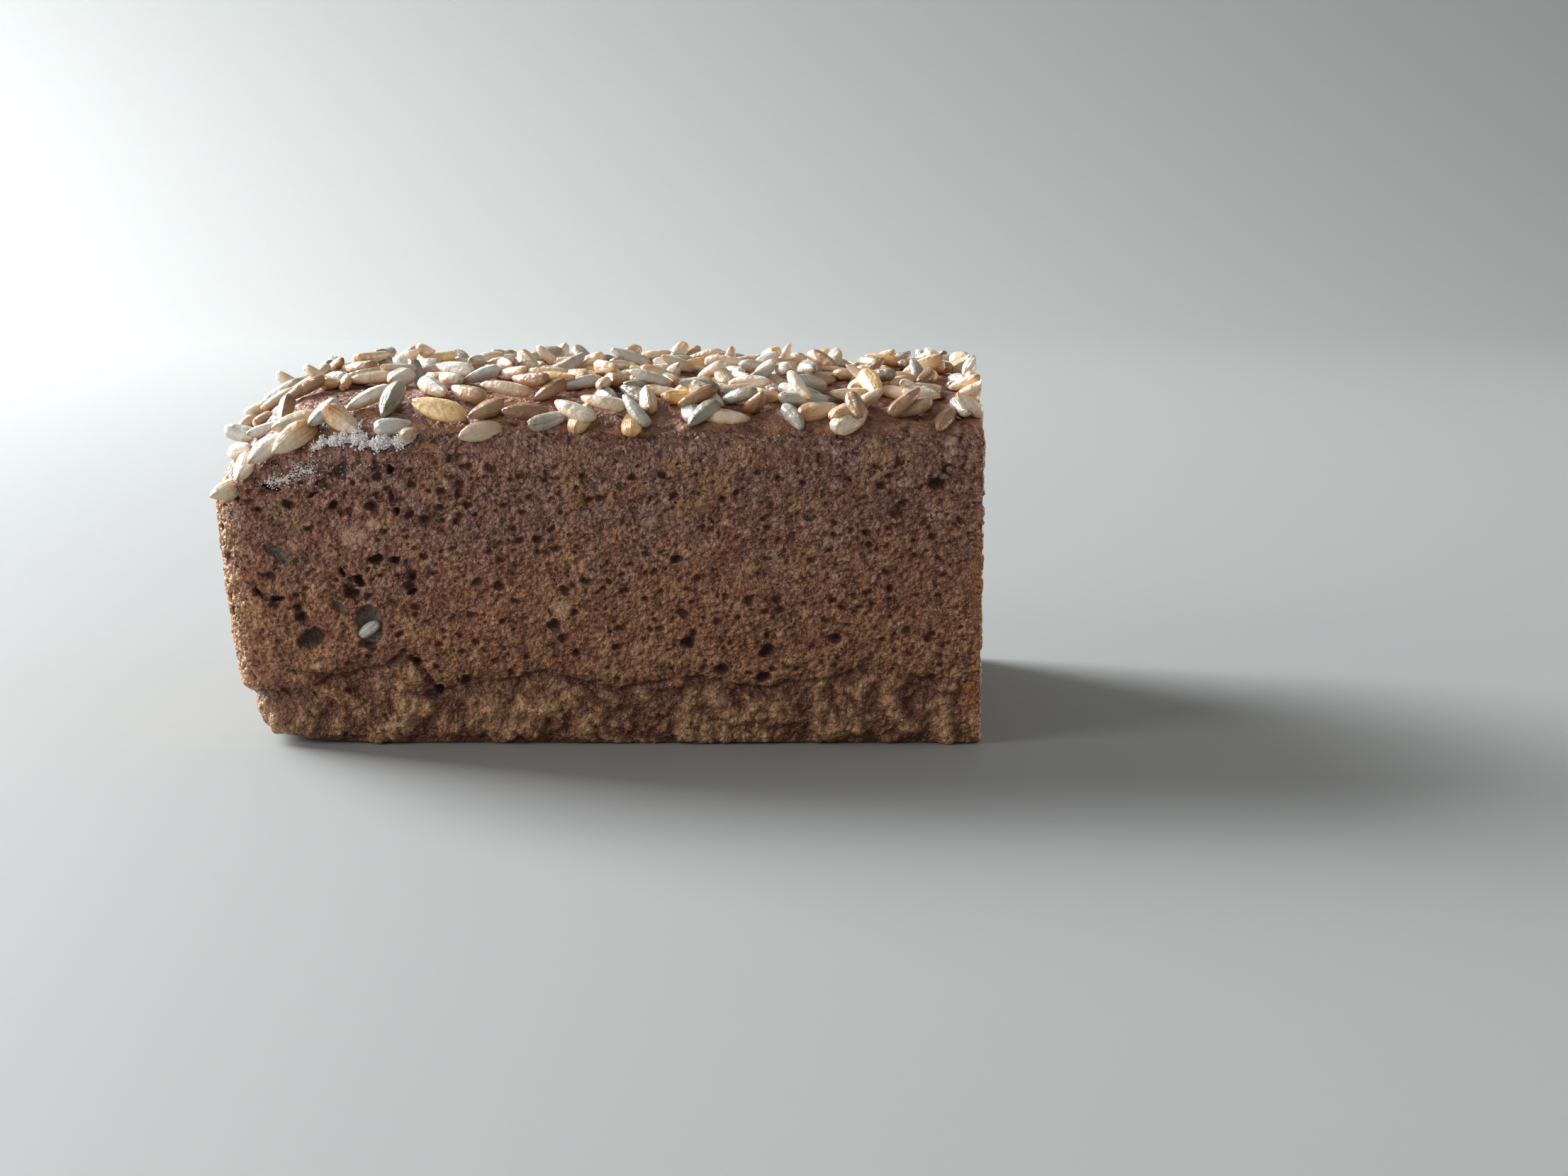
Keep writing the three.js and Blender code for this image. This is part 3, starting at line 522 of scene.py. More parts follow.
def pan_piece(name, parts, counts, wall_rows):
    """One run of the wall as a closed slab. Columns follow the wall's path. Rows climb from under the base
    round the foot, a circle's arc, up the wall, over the shoulder to the rim line and down inside. Relief is
    added along the normals. At the cut the slab turns in and runs back behind the crumb's rim."""
    from_cut = parts[0] == 0
    part = np.append(np.repeat(parts, counts), parts[-1])
    share = np.append(np.concatenate([np.arange(n) / n for n in counts]), 1.0)
    # One column more, past the seam with the other run, so that both have the same normals at the seam
    ghost_at = len(part) if from_cut else 0
    ghost_part, ghost_share = (2, 0.004) if from_cut else (1, 0.975)
    part, share = np.insert(part, ghost_at, ghost_part), np.insert(share, ghost_at, ghost_share)
    own_columns = slice(None, -1) if from_cut else slice(1, None)
    path = path_length(part, share)
    level_ground = 0 * path
    on_heel = part == 2
    from_seams = np.minimum(np.abs(path - path_length(2, 0.0)), np.abs(path - path_length(2, 1.0)))
    calm = smooth_step(0.0, 6.0, from_seams)

    def ring(z, inset, leaning=True):
        """Plan of the leaning wall at a height, or of the shoulder, drawn in by an inset."""
        half_width = half_width_at(z) if leaning else TOP_WIDTH / 2
        heel_x = heel_at(z) if leaning else HEEL_X
        radius = HEEL_CORNER_RADIUS - np.minimum(inset, HEEL_CORNER_RADIUS - 0.6)
        return wall_path(part, share, half_width - inset, heel_x + inset, radius, CUT_X - EDGE_GAP)

    # Rows of x, y, z and the share of the relief that shows there, the first two above the base's plate
    rows = []
    for plan_z, z, inset in ((3.0, 3.0, 1.5), (0.0, 0.3, 1.2)):
        rows.append((*ring(plan_z + level_ground, BASE_ROUNDING + inset), z + level_ground, 0))
    for angle in np.radians(np.linspace(0, 82, 10)):
        z = BASE_ROUNDING * (1 - np.cos(angle)) + level_ground
        rows.append((*ring(z, BASE_ROUNDING * (1 - np.sin(angle))), z, smooth_step(0, 0.9, angle)))
    wall_foot = rows[-1][2] + 0.4
    wall_top = top_height(*ring(SHOULDER_HEIGHT + level_ground, 0, False))
    for level in np.linspace(0, 1, wall_rows):
        z = mix(wall_foot, wall_top, level)
        x, y = ring(z, 0)
        wave = calm * wall_wave(np.where(on_heel, y, x), z)
        rows.append((x + np.where(on_heel, wave, 0), y + np.where(on_heel, 0, wave * np.sign(y)), z, 1))
    rim = rim_line(path)
    over = [(inset * rim, 0.0, 1) for inset in np.linspace(0.08, 1.0, 9)]
    down = [(rim + 0.4, 0.5, 0), (rim + 1.2, 2.0, 0), (rim + 2.0, 5.0, 0)]
    for inset, drop, shown in over + down:
        x, y = ring(wall_top, inset, False)
        rows.append((x, y, top_height(x, y) - drop, shown))

    points = np.stack([np.stack(row[:3], axis=1) for row in rows])
    points[:, :, 2] += corner_lift(points[:, :, 0], points[:, :, 1], points[:, :, 2])
    z = points[:, :, 2]
    shown = np.array([row[3] for row in rows], float)[:, None]
    shown = shown * smooth_step(0.2, 2.0, CUT_X - points[:, :, 0])
    relief = pan_relief(np.broadcast_to(path, z.shape), z, np.broadcast_to(part, z.shape))
    # Right under the shoulder of the heel and the far side the pores are shallow
    shallow = mix(1.0 if from_cut else 0.12, 1.0, smooth_step(0.5, 5.0, wall_top - z))
    depth, lumps = relief[0] * shown * shallow, relief[1] * shown
    points = (points + outward(points) * (lumps - depth)[:, :, None])[:, own_columns]
    points[:, :, 2] = np.maximum(points[:, :, 2], LOWEST)
    for row in (0, -2, -1):
        points[row, :, 0] = recessed(points[row, :, 0])

    at_cut = points[:, :1] if from_cut else points[:, -1:]
    inwards = (np.array(SECTION_MIDDLE) - at_cut) * np.array([0.0, 1.0, 1.0])
    turned = at_cut + inwards / np.linalg.norm(inwards, axis=2, keepdims=True) * CRUST_EDGE
    hidden = turned - np.array([RECESS, 0.0, 0.0])
    points = np.concatenate([hidden, turned, points] if from_cut else [points, turned, hidden], axis=1)
    added = (2, 0) if from_cut else (0, 2)
    pit = np.clip(depth / FULL_PIT, 0, 1)
    fields = [wrapped(field[:, own_columns], *added, 1) for field in (pit, lumps, *relief[2:])]
    return write_mesh(name, points, *closed_tube(points), dict(zip(PAN_FIELDS, fields)))


def pan_base():
    """The flat base as a closed plate: a grid over its plan, round at the heel's corners, with pores that
    rise into it and a rim that turns up a little."""
    u = np.linspace(0, 1, BASE_ROWS)[:, None]
    v = np.linspace(-1, 1, BASE_COLUMNS)[None, :]
    inset, end, thickness = 0.2, CUT_X - 0.6, 2.5
    heel = heel_at(0.0) + BASE_ROUNDING + inset
    radius = HEEL_CORNER_RADIUS - BASE_ROUNDING
    x = mix(end, heel, u) + 0 * v
    into = np.clip(heel + radius - x, 0, radius)
    half = BASE_WIDTH / 2 - BASE_ROUNDING - inset - radius
    half = half + np.sqrt(np.maximum(radius**2 - into**2, 0))
    y = v * half
    depth = sponge(x, y, 91) * 0.8
    from_rim = np.minimum(half - np.abs(y), np.minimum(x - heel, end - x))
    lift = corner_lift(x, y, 0.0)
    turned_up = 0.25 * (1 - smooth_step(0.0, 0.6, from_rim))
    z = depth * smooth_step(0.3, 2.0, from_rim) + turned_up + lift
    under = np.stack([x, y, z], axis=2)
    over = np.stack([x, y, lift + thickness], axis=2)[::-1]
    points = np.concatenate([under, over])
    nothing = np.zeros(points.shape[:2])
    attributes = dict.fromkeys(PAN_FIELDS, nothing)
    attributes["pit"] = np.clip(np.concatenate([depth, 0 * depth]) / FULL_PIT, 0, 1)
    attributes["foot"] = nothing + 1
    return write_mesh("base_crust", points, *closed_tube(points), attributes)


# ---- top crust ----

TOP_COLUMNS = 280  # from the cut to the heel
TOP_ROWS = 180  # across the top


def top_relief(x, y):
    """Height of the baked skin over the smooth top, and its dimples: wrinkles, bubbles and burst pores."""
    wrinkles = 0.3 * waves(x, y, 2.2, 51, 3) + 0.45 * waves(x, y, 7.0, 52, 2)
    bent_x = x + 0.6 * waves(x, y, 1.6, 57, 2)
    bent_y = y + 0.6 * waves(x, y, 1.6, 58, 2)
    dimples = pores(bent_x, bent_y, 2.4, 0.3, 1.0, 0.5, 53, 0.7)
    return wrinkles - 0.75 * dimples, dimples


def top_half_width(x, inset):
    """Half the width of the top at a place along the loaf: full, then round the heel's corner."""
    radius = HEEL_CORNER_RADIUS - inset
    into = np.clip(HEEL_X + HEEL_CORNER_RADIUS - x, 0, radius)
    return TOP_WIDTH / 2 - inset - radius + np.sqrt(np.maximum(radius**2 - into**2, 0))


def top_crust():
    """The top as a closed slab over its plan, drawn in to the heel's round corners, with rows bunched towards
    the two sides by half a cosine. Its rim dips under the pan crust's, and its end at the cut turns in behind
    the crust's edge."""
    inset, thickness, rim_dip = 0.5, 3.0, 0.7
    even = np.linspace(0, 1, TOP_ROWS)
    v = mix(even, 0.5 - 0.5 * np.cos(np.pi * even), 0.6)[:, None]
    x = mix(CUT_X - EDGE_GAP, HEEL_X + inset, np.linspace(0, 1, TOP_COLUMNS))[None, :] + 0 * v
    y = (2 * v - 1) * top_half_width(x, inset)
    relief, dimples = top_relief(x, y)
    reach = np.minimum(top_half_width(x, 0) - np.abs(y), x - HEEL_X)
    side_path = np.where(y < 0, CUT_X - x, 2 * LENGTH + TOP_WIDTH - (CUT_X - x))
    settle = 1 - smooth_step(-0.2, 1.2, reach - rim_line(side_path))
    z = top_height(x, y) + relief * (1 - settle) * smooth_step(0.2, 2.0, CUT_X - x) - rim_dip * settle
    upper = np.stack([x, y, z], axis=2)
    lower = upper[::-1] * np.array([1.0, 0.93, 1.0]) - np.array([0.0, 0.0, thickness])
    lower[:, :, 0] = recessed(lower[:, :, 0])
    points = np.concatenate([upper, lower])
    turned = points[:, :1] - np.array([0.0, 0.0, CRUST_EDGE])
    points = np.concatenate([turned - np.array([RECESS, 0.0, 0.0]), turned, points], axis=1)
    dimples = wrapped(np.concatenate([dimples, 0 * dimples]), 2, 0, 1)
    return write_mesh("top_crust", points, *closed_tube(points), {"pit": np.clip(dimples, 0, 1)})


# ---- crumb at the cut ----

CRUMB_ROWS = 236
CRUMB_COLUMNS = 372
# Bubbles of the crumb: strength, cell, smallest and largest radius, share of cells, seed and sharpness
CRUMB_BUBBLES = (
    (0.9, 0.9, 0.24, 0.5, 0.9, 63, 0.6),
    (1.1, 1.6, 0.4, 0.9, 0.8, 64, 0.55),
    (1.2, 3.2, 0.6, 1.4, 0.72, 65, 0.5),
    (1.0, 7.0, 1.0, 2.2, 0.45, 66, 0.45),
    (1.0, 17.0, 1.4, 2.9, 0.25, 69, 0.4),
)


def section_point(u, v, inset):
    """The cut section: u runs across, v up. Height is v times the top's height there, and the width follows
    the draft and the foot's rounding, all drawn in by an inset."""
    wide_y = (2 * u - 1) * (TOP_WIDTH / 2 - inset)
    z = mix(inset, top_height(np.full(wide_y.shape, CUT_X), wide_y) - inset, v)
    foot = np.clip(1 - z / BASE_ROUNDING, 0, 1)
    rounding = BASE_ROUNDING * (1 - np.sqrt(1 - foot**2))
    y = (2 * u - 1) * (half_width_at(z) - inset - rounding)
    return y, z


def crumb_relief(y, z):
    """Depth of the crumb's pores below the cut, and its roughness: bubbles of five sizes on a warped plane,
    so that they join and none is quite round, and rolling noise."""
    warp_y = y + 0.5 * waves(y, z, 1.0, 60, 2) + 0.9 * waves(y, z, 2.8, 61, 2)
    warp_z = 1.15 * (z + 0.45 * waves(y, z, 1.0, 59, 2) + 0.8 * waves(y, z, 2.5, 62, 2))
    grit = 0.26 * waves(y, z, 0.9, 67, 2) + 0.22 * waves(y, z, 4.0, 68, 2)
    return bubbles(warp_y, warp_z, CRUMB_BUBBLES), grit


def crumb():
    """The crumb's cut face as a grid over the section, with its pores, on a closed slab set in the crust.
    Pores are shallower near the section's edge, and the rim is drawn back a little."""
    u = np.linspace(0, 1, CRUMB_COLUMNS)[None, :]
    v = np.linspace(0, 1, CRUMB_ROWS)[:, None]
    y, z = section_point(u + 0 * v, v + 0 * u, 0.1)
    outline_z = top_height(np.full(y.shape, CUT_X), y)
    edge = np.minimum(np.minimum(half_width_at(z) - np.abs(y), z), outline_z - z)
    depth, grit = crumb_relief(y, z)
    depth = 1.15 * depth * mix(0.4, 1.0, smooth_step(0.6, 3.0, edge))
    deepest = mix(0.6 * RECESS, 9.0, smooth_step(CRUST_EDGE + 0.4, CRUST_EDGE + 3.0, edge))
    depth = np.minimum(depth, deepest)
    x = CUT_X - depth + grit * smooth_step(0.2, 0.9, edge) - 0.45 * (1 - smooth_step(0.1, 0.6, edge))
    points = np.stack([x, y, z], axis=2)

    def drawn_back(line, behind):
        """An outer line of the grid again, a little drawn in, at a distance behind the knife's plane."""
        return line * np.array([0.0, 0.985, 0.985]) + np.array([CUT_X - behind, 0.0, 0.5])

    low, high = points[:1], points[-1:]
    backs = [drawn_back(line, behind) for line, behind in ((low, 5.6), (low, 1.6), (high, 1.6), (high, 5.6))]
    points = np.concatenate(backs[:2] + [points] + backs[2:])
    points = np.concatenate([drawn_back(points[:, :1], 5.6), points, drawn_back(points[:, -1:], 5.6)], axis=1)
    depth, edge = (wrapped(wrapped(field, 2, 2, 0), 1, 1, 1) for field in (depth, edge))
    attributes = {"pit": np.clip(depth / FULL_CRUMB_PIT, 0, 1), "edge": edge}
    return write_mesh("crumb", points, *closed_tube(points), attributes)


# ---- sunflower kernels ----


def kernel_girth(place):
    """Share of a kernel's greatest width at a place from its pointed end, 0, to its blunt end, 1."""
    rise = (place / KERNEL_WIDEST) ** 0.64
    return rise * ((1 - place) / (1 - KERNEL_WIDEST)) ** 0.38


KERNEL_PLACES = np.array([0.03, 0.11, 0.24, 0.42, 0.6, 0.77, 0.9, 0.975])
KERNEL_SIDES = 10


def kernel_form():
    """A kernel of unit length, width and thickness along X, pointed at -X: rings of ten corners between two
    tips. Each ring is an oval as wide as the girth and as thick as its 0.7th power. Returns points, quads,
    triangles, each point's place along the kernel and its side, from one thin edge, -1, to the other, 1."""
    turn = 2 * np.pi * (np.arange(KERNEL_SIDES) + 0.5) / KERNEL_SIDES
    girth = kernel_girth(KERNEL_PLACES)[:, None] / 2
    across = girth * np.cos(turn)[None, :]
    up = 0.5 * (2 * girth) ** 0.7 * (np.sign(np.sin(turn)) * np.abs(np.sin(turn)) ** 0.85)[None, :]
    along = (KERNEL_PLACES - 0.5)[:, None] + 0 * across
    rings = np.stack([along, across, up], axis=2).reshape(-1, 3)
    points = np.concatenate([[[-0.5, 0, 0]], rings, [[0.5, 0, 0]]])
    i, j = np.meshgrid(np.arange(len(KERNEL_PLACES) - 1), np.arange(KERNEL_SIDES), indexing="ij")
    here = 1 + i * KERNEL_SIDES + j
    following = 1 + i * KERNEL_SIDES + (j + 1) % KERNEL_SIDES
    quads = np.stack([here, following, following + KERNEL_SIDES, here + KERNEL_SIDES], axis=2)
    j = np.arange(KERNEL_SIDES)
    tip = len(points) - 1
    last = tip - KERNEL_SIDES
    pointed = np.stack([0 * j, 1 + (j + 1) % KERNEL_SIDES, 1 + j], axis=1)
    blunt = np.stack([tip + 0 * j, last + j, last + (j + 1) % KERNEL_SIDES], axis=1)
    at_edge = np.concatenate([[0.0], np.tile(np.cos(turn), len(KERNEL_PLACES)), [0.0]])
    return points, quads.reshape(-1, 4), np.concatenate([pointed, blunt]), points[:, 0] + 0.5, at_edge


def unit(vector):
    """A vector's direction."""
    return vector / np.linalg.norm(vector)


def pointing(heading, rise):
    """The direction with a heading in plan and a rise over it, in radians."""
    return np.array([math.cos(heading) * math.cos(rise), math.sin(heading) * math.cos(rise), math.sin(rise)])


def leftwards(heading):
    """The level direction at right angles to a heading."""
    return np.array([-math.sin(heading), math.cos(heading), 0.0])


def axes_over(normal, along):
    """A kernel's along, across and up directions: across is at right angles to a normal and to along."""
    across = unit(np.cross(normal, along))
    return np.stack([along, across, np.cross(along, across)])


def top_normal(x, y):
    """Outward direction of the top, from its slopes over a millimetre."""
    step = 0.5
    slope_x = (top_height(x + step, y) - top_height(x - step, y)) / (2 * step)
    slope_y = (top_height(x, y + step) - top_height(x, y - step)) / (2 * step)
    return unit(np.array([-slope_x, -slope_y, 1.0]))


def kernel_axes(normal, heading, tilt):
    """A kernel's directions for a heading and a tilt over a surface."""
    flat = unit(np.cross(leftwards(heading), normal))
    return axes_over(normal, flat * math.cos(tilt) + normal * math.sin(tilt))


# The kernels by the near corner of the heel: distance from the heel, y and height of the middle, heading and
# rise in degrees, length, width, kind (0 cream, 1 grey, 2 toasted, 3 yellow), tone and toast
CORNER_KERNELS = (
    (3.5, -51.0, 51.1, 35, 16, 6.8, 4.2, 0, 1.0, 0.6),
    (7.1, -50.6, 55.6, 85, 31, 8.6, 4.6, 0, 0.2, 0.1),
    (11.6, -50.4, 59.3, 50, 26, 10.2, 4.7, 0, 0.1, 0.05),
    (17.0, -50.6, 61.5, 40, 28, 10.8, 5.4, 0, 0.5, 1.0),
    (16.6, -47.0, 64.3, 30, 14, 10.0, 4.4, 0, 0.8, 0.5),
    (22.1, -46.2, 66.0, 65, 24, 10.2, 3.8, 1, 0.1, 0.1),
    (26.1, -48.2, 64.7, 156, 30, 9.6, 4.9, 0, 0.7, 1.0),
    (5.6, -38.5, 61.1, 171, 9, 9.6, 4.0, 1, 0.0, 0.1),
    (5.2, -43.0, 58.3, 138, -9, 7.6, 3.8, 0, 0.2, 0.2),
    (10.0, -41.5, 62.2, 34, 10, 8.6, 4.0, 1, 0.0, 0.1),
    (2.3, -24.0, 61.8, 87, 4, 8.6, 4.0, 0, 0.6, 0.7),
    (6.9, -30.5, 63.2, 82, 2, 8.0, 4.0, 0, 0.5, 0.8),
    (14.9, -27.7, 69.2, 18, 27, 9.8, 3.4, 2, 0.3, 0.5),
    (13.9, -41.6, 66.0, 86, 40, 8.6, 3.4, 2, 0.9, 0.9),
    (30.1, -39.6, 68.4, 32, 22, 10.6, 4.0, 0, 0.3, 0.15),
    (35.0, -42.1, 68.4, 71, 38, 10.0, 4.6, 1, 1.0, 0.6),
    (36.7, -47.8, 63.4, -141, 0, 9.8, 4.1, 1, 0.0, 0.05),
    (44.7, -46.0, 66.8, -14, -13, 11.6, 5.0, 3, 0.3, 0.3),
    (42.6, -34.1, 70.0, 125, 14, 10.2, 5.0, 0, 0.15, 0.1),
    (49.5, -37.8, 69.4, -44, -8, 10.0, 4.4, 2, 0.1, 0.2),
    (57.0, -35.1, 70.0, -13, -9, 10.6, 4.0, 0, 0.2, 0.6),
    (53.9, -45.0, 66.5, 52, 13, 9.6, 3.9, 2, 0.0, 0.5),
    (61.7, -45.1, 66.2, 22, -4, 9.6, 3.8, 2, 0.7, 0.7),
    (53.4, -50.2, 62.6, 36, 7, 10.0, 4.4, 0, 0.9, 0.6),
    (50.6, -21.4, 71.7, 49, 11, 10.0, 4.0, 1, 0.0, 0.0),
    (44.5, -25.9, 71.4, -61, -2, 9.6, 4.0, 0, 0.1, 0.0),
    (56.9, -20.3, 72.0, -45, 7, 9.6, 3.9, 0, 0.5, 0.6),
    (61.4, -29.6, 71.4, -34, 2, 9.6, 4.2, 2, 0.5, 0.5),
    (24.0, -11.6, 72.6, -44, 6, 9.8, 4.2, 2, 0.0, 0.6),
    (28.2, -22.5, 71.2, 12, 4, 9.9, 4.0, 0, 0.5, 0.4),
    (19.3, -14.4, 70.6, -52, 3, 9.6, 4.0, 1, 0.3, 0.2),
    (39.4, -50.2, 62.1, 70, 0, 6.2, 3.4, 0, 0.8, 0.75),
)
CORNER_REACH_X = 64.0  # the listed kernels are all that lie this near the heel
CORNER_REACH_Y = -24.0  # and on this side of y
LEAN_START_Y = -36.0  # from here to the near side they turn their broad faces outwards
LEAN_RUN = 14.0  # the turn is full this much nearer
LEAN = 0.9  # length of the outward step that is added to their crust's direction


def among_corner_kernels(x, y, clearance):
    """Whether a place belongs to the listed kernels: in their corner, or within a clearance of one."""
    if x - HEEL_X < CORNER_REACH_X and y < CORNER_REACH_Y:
        return True
    return any(math.hypot(x - HEEL_X - row[0], y - row[1]) < clearance for row in CORNER_KERNELS)


def corner_kernels():
    """The listed kernels as placed shapes, which are middle, axes and sizes: each lies as flat to the crust
    as its rise and its lean let it."""
    placed = []
    for from_heel, y, z, heading, rise, length, width, *_ in CORNER_KERNELS:
        x = HEEL_X + from_heel
        normal = top_normal(max(x, HEEL_X + 0.8), y)
        normal[1] -= LEAN * min(max((LEAN_START_Y - y) / LEAN_RUN, 0.0), 1.0)
        axes = axes_over(normal, pointing(math.radians(heading), math.radians(rise)))
        placed.append((np.array([x, y, z]), axes, np.array([length, width, KERNEL_THICKNESS])))
    return placed


def top_kernels(count):
    """The solid's own kernels of the top, by its rule, the largest first."""
    draw = seeded_draws(7341)
    kernels = []
    n = -1
    while len(kernels) < count:
        n += 1
        spread_x, spread_y = even_spread(n)
        jitter_x, jitter_y = 4.4 * (next(draw) - 0.5), 4.4 * (next(draw) - 0.5)
        heading = 2 * math.pi * next(draw)
        lean, size, narrow = next(draw), next(draw), next(draw)
        x = mix(HEEL_X + 1.2, CUT_X + 2, spread_x) + jitter_x
        across = 2 * spread_y - 1
        reach = (TOP_WIDTH / 2 - 1.5) * (1 - (1 - abs(across)) ** 1.2)
        y = math.copysign(1, across) * reach + jitter_y
        on_top = abs(y) < TOP_WIDTH / 2 - 1.2 and HEEL_X + 0.8 < x < CUT_X + 3
        bare_band = abs(y) > TOP_WIDTH / 2 - 3.6 and x > HEEL_X + 24
        if not on_top or bare_band or bare_patch(x, y) or among_corner_kernels(x, y, KERNEL_ROOM):
            continue
        scale = 1.14 - 0.16 * (len(kernels) / count) - 0.16 * size
        on_end = lean > 1 - STANDING_SHARE
        tilt = mix(0.3, 0.6, (1 - lean) / STANDING_SHARE) if on_end else mix(-0.16, 0.16, lean)
        crowd = sum(math.hypot(k["x"] - x, k["y"] - y) < KERNEL_ROOM for k in kernels)
        lift = KERNEL_THICKNESS * (0.24 + 0.32 * min(crowd, 2)) + 2 * abs(math.sin(tilt))
        slim = mix(0.9, 1.14, narrow)
        kernels.append(dict(x=x, y=y, heading=heading, tilt=tilt, scale=scale, slim=slim, lift=lift))
    return kernels


def bare_patch(x, y):
    """Whether a place on the top was left without kernels."""
    return math.sin(x * 0.12 + 2.2) * math.sin(y * 0.11 - 0.4) > 0.8


def rim_kernels(count):
    """The solid's row of kernels along the heel's top edge, round its two corners and a little way along the
    sides."""
    draw = seeded_draws(2203)
    side = 16.0
    end = TOP_WIDTH / 2 - RIM_INSET
    turn = HEEL_CORNER_RADIUS - RIM_INSET
    arc = math.pi / 2 * turn
    total = 2 * side + 2 * arc + 2 * (end - turn)
    kernels = []
    for n in range(count):
        along = total * (n + 0.5) / count
        mirrored = along > total / 2
        start = total - along if mirrored else along
        x, y, heading = HEEL_X + HEEL_CORNER_RADIUS + side - start, -end, math.pi
        if start > side + arc:
            x, y, heading = HEEL_X + RIM_INSET, -end + turn + (start - side - arc), math.pi / 2
        elif start > side:
            angle = (start - side) / turn
            x = HEEL_X + HEEL_CORNER_RADIUS - turn * math.sin(angle)
            y = -end + turn * (1 - math.cos(angle))
            heading = math.pi - angle
        heading += 0.9 * (next(draw) - 0.5)
        scale = mix(0.86, 1.06, next(draw))
        lift = KERNEL_THICKNESS * mix(0.1, 0.4, next(draw))
        if mirrored:
            y, heading = -y, math.pi - heading
        if not among_corner_kernels(x, y, KERNEL_ROOM):
            kernels.append(dict(x=x, y=y, heading=heading, tilt=0.0, scale=scale, slim=1.05, lift=lift))
    return kernels


class HeapSurface:
    """Heights of the top with the kernels laid so far, on a plan grid, so that the next can rest on them."""

    STEP = 0.5
    MARGIN = 4

    def __init__(self):
        side = TOP_WIDTH / 2
        self.x = np.arange(HEEL_X - self.MARGIN, CUT_X + self.MARGIN, self.STEP)
        self.y = np.arange(-side - self.MARGIN, side + self.MARGIN, self.STEP)
        grid_x, grid_y = np.meshgrid(self.x, self.y, indexing="ij")
        bound = side - 0.05
        self.height = top_height(np.maximum(grid_x, HEEL_X), np.clip(grid_y, -bound, bound))

    def at(self, x, y):
        """Height at a place, from the nearest grid point."""
        i = int(np.clip(round((x - self.x[0]) / self.STEP), 0, len(self.x) - 1))
        j = int(np.clip(round((y - self.y[0]) / self.STEP), 0, len(self.y) - 1))
        return self.height[i, j]

    def lay(self, centre, axes, sizes):
        """Raises the heights under a kernel to its upper side: an oval across, and its slope along."""
        length, width, thickness = sizes
        reach = length / 2 + 1
        rows = np.abs(self.x - centre[0]) < reach
        columns = np.abs(self.y - centre[1]) < reach
        away_x = self.x[rows][:, None] - centre[0]
        away_y = self.y[columns][None, :] - centre[1]
        heading = math.atan2(axes[0][1], axes[0][0])
        along = away_x * math.cos(heading) + away_y * math.sin(heading)
        across = away_y * math.cos(heading) - away_x * math.sin(heading)
        half = kernel_girth(np.clip(along / length + 0.5, 0.001, 0.999)) / 2
        inside = 1 - (across / (width * half)) ** 2
        slope = axes[0][2] / max(math.hypot(axes[0][0], axes[0][1]), 0.2)
        upper = centre[2] + slope * along + thickness * half * np.sqrt(np.maximum(inside, 0))
        window = self.height[np.ix_(rows, columns)]
        covered = (inside > 0) & (np.abs(along) < length / 2)
        self.height[np.ix_(rows, columns)] = np.where(covered, np.maximum(window, upper), window)


def kernel_sizes(scale, slim):
    """A kernel's length, width and thickness for a scale and a share of the usual width."""
    return scale * np.array([KERNEL_LENGTH, KERNEL_WIDTH * slim, KERNEL_THICKNESS])


def placed_by_rule(kernel):
    """A kernel of the solid's rules as a placed shape, lifted off the top along its normal."""
    x, y = kernel["x"], kernel["y"]
    normal = top_normal(x, y)
    centre = np.array([x, y, top_height(x, y)]) + normal * kernel["lift"]
    axes = kernel_axes(normal, kernel["heading"], kernel["tilt"])
    return centre, axes, kernel_sizes(kernel["scale"], kernel["slim"])


FILL_TRIES = range(3001, 9001)  # points of the even spread that the fill tries in turn
STEEPEST = 0.6  # rise in radians of a resting kernel
STANDING_FROM = 0.86  # a kernel of the fill stands up on its end if its draw passes this


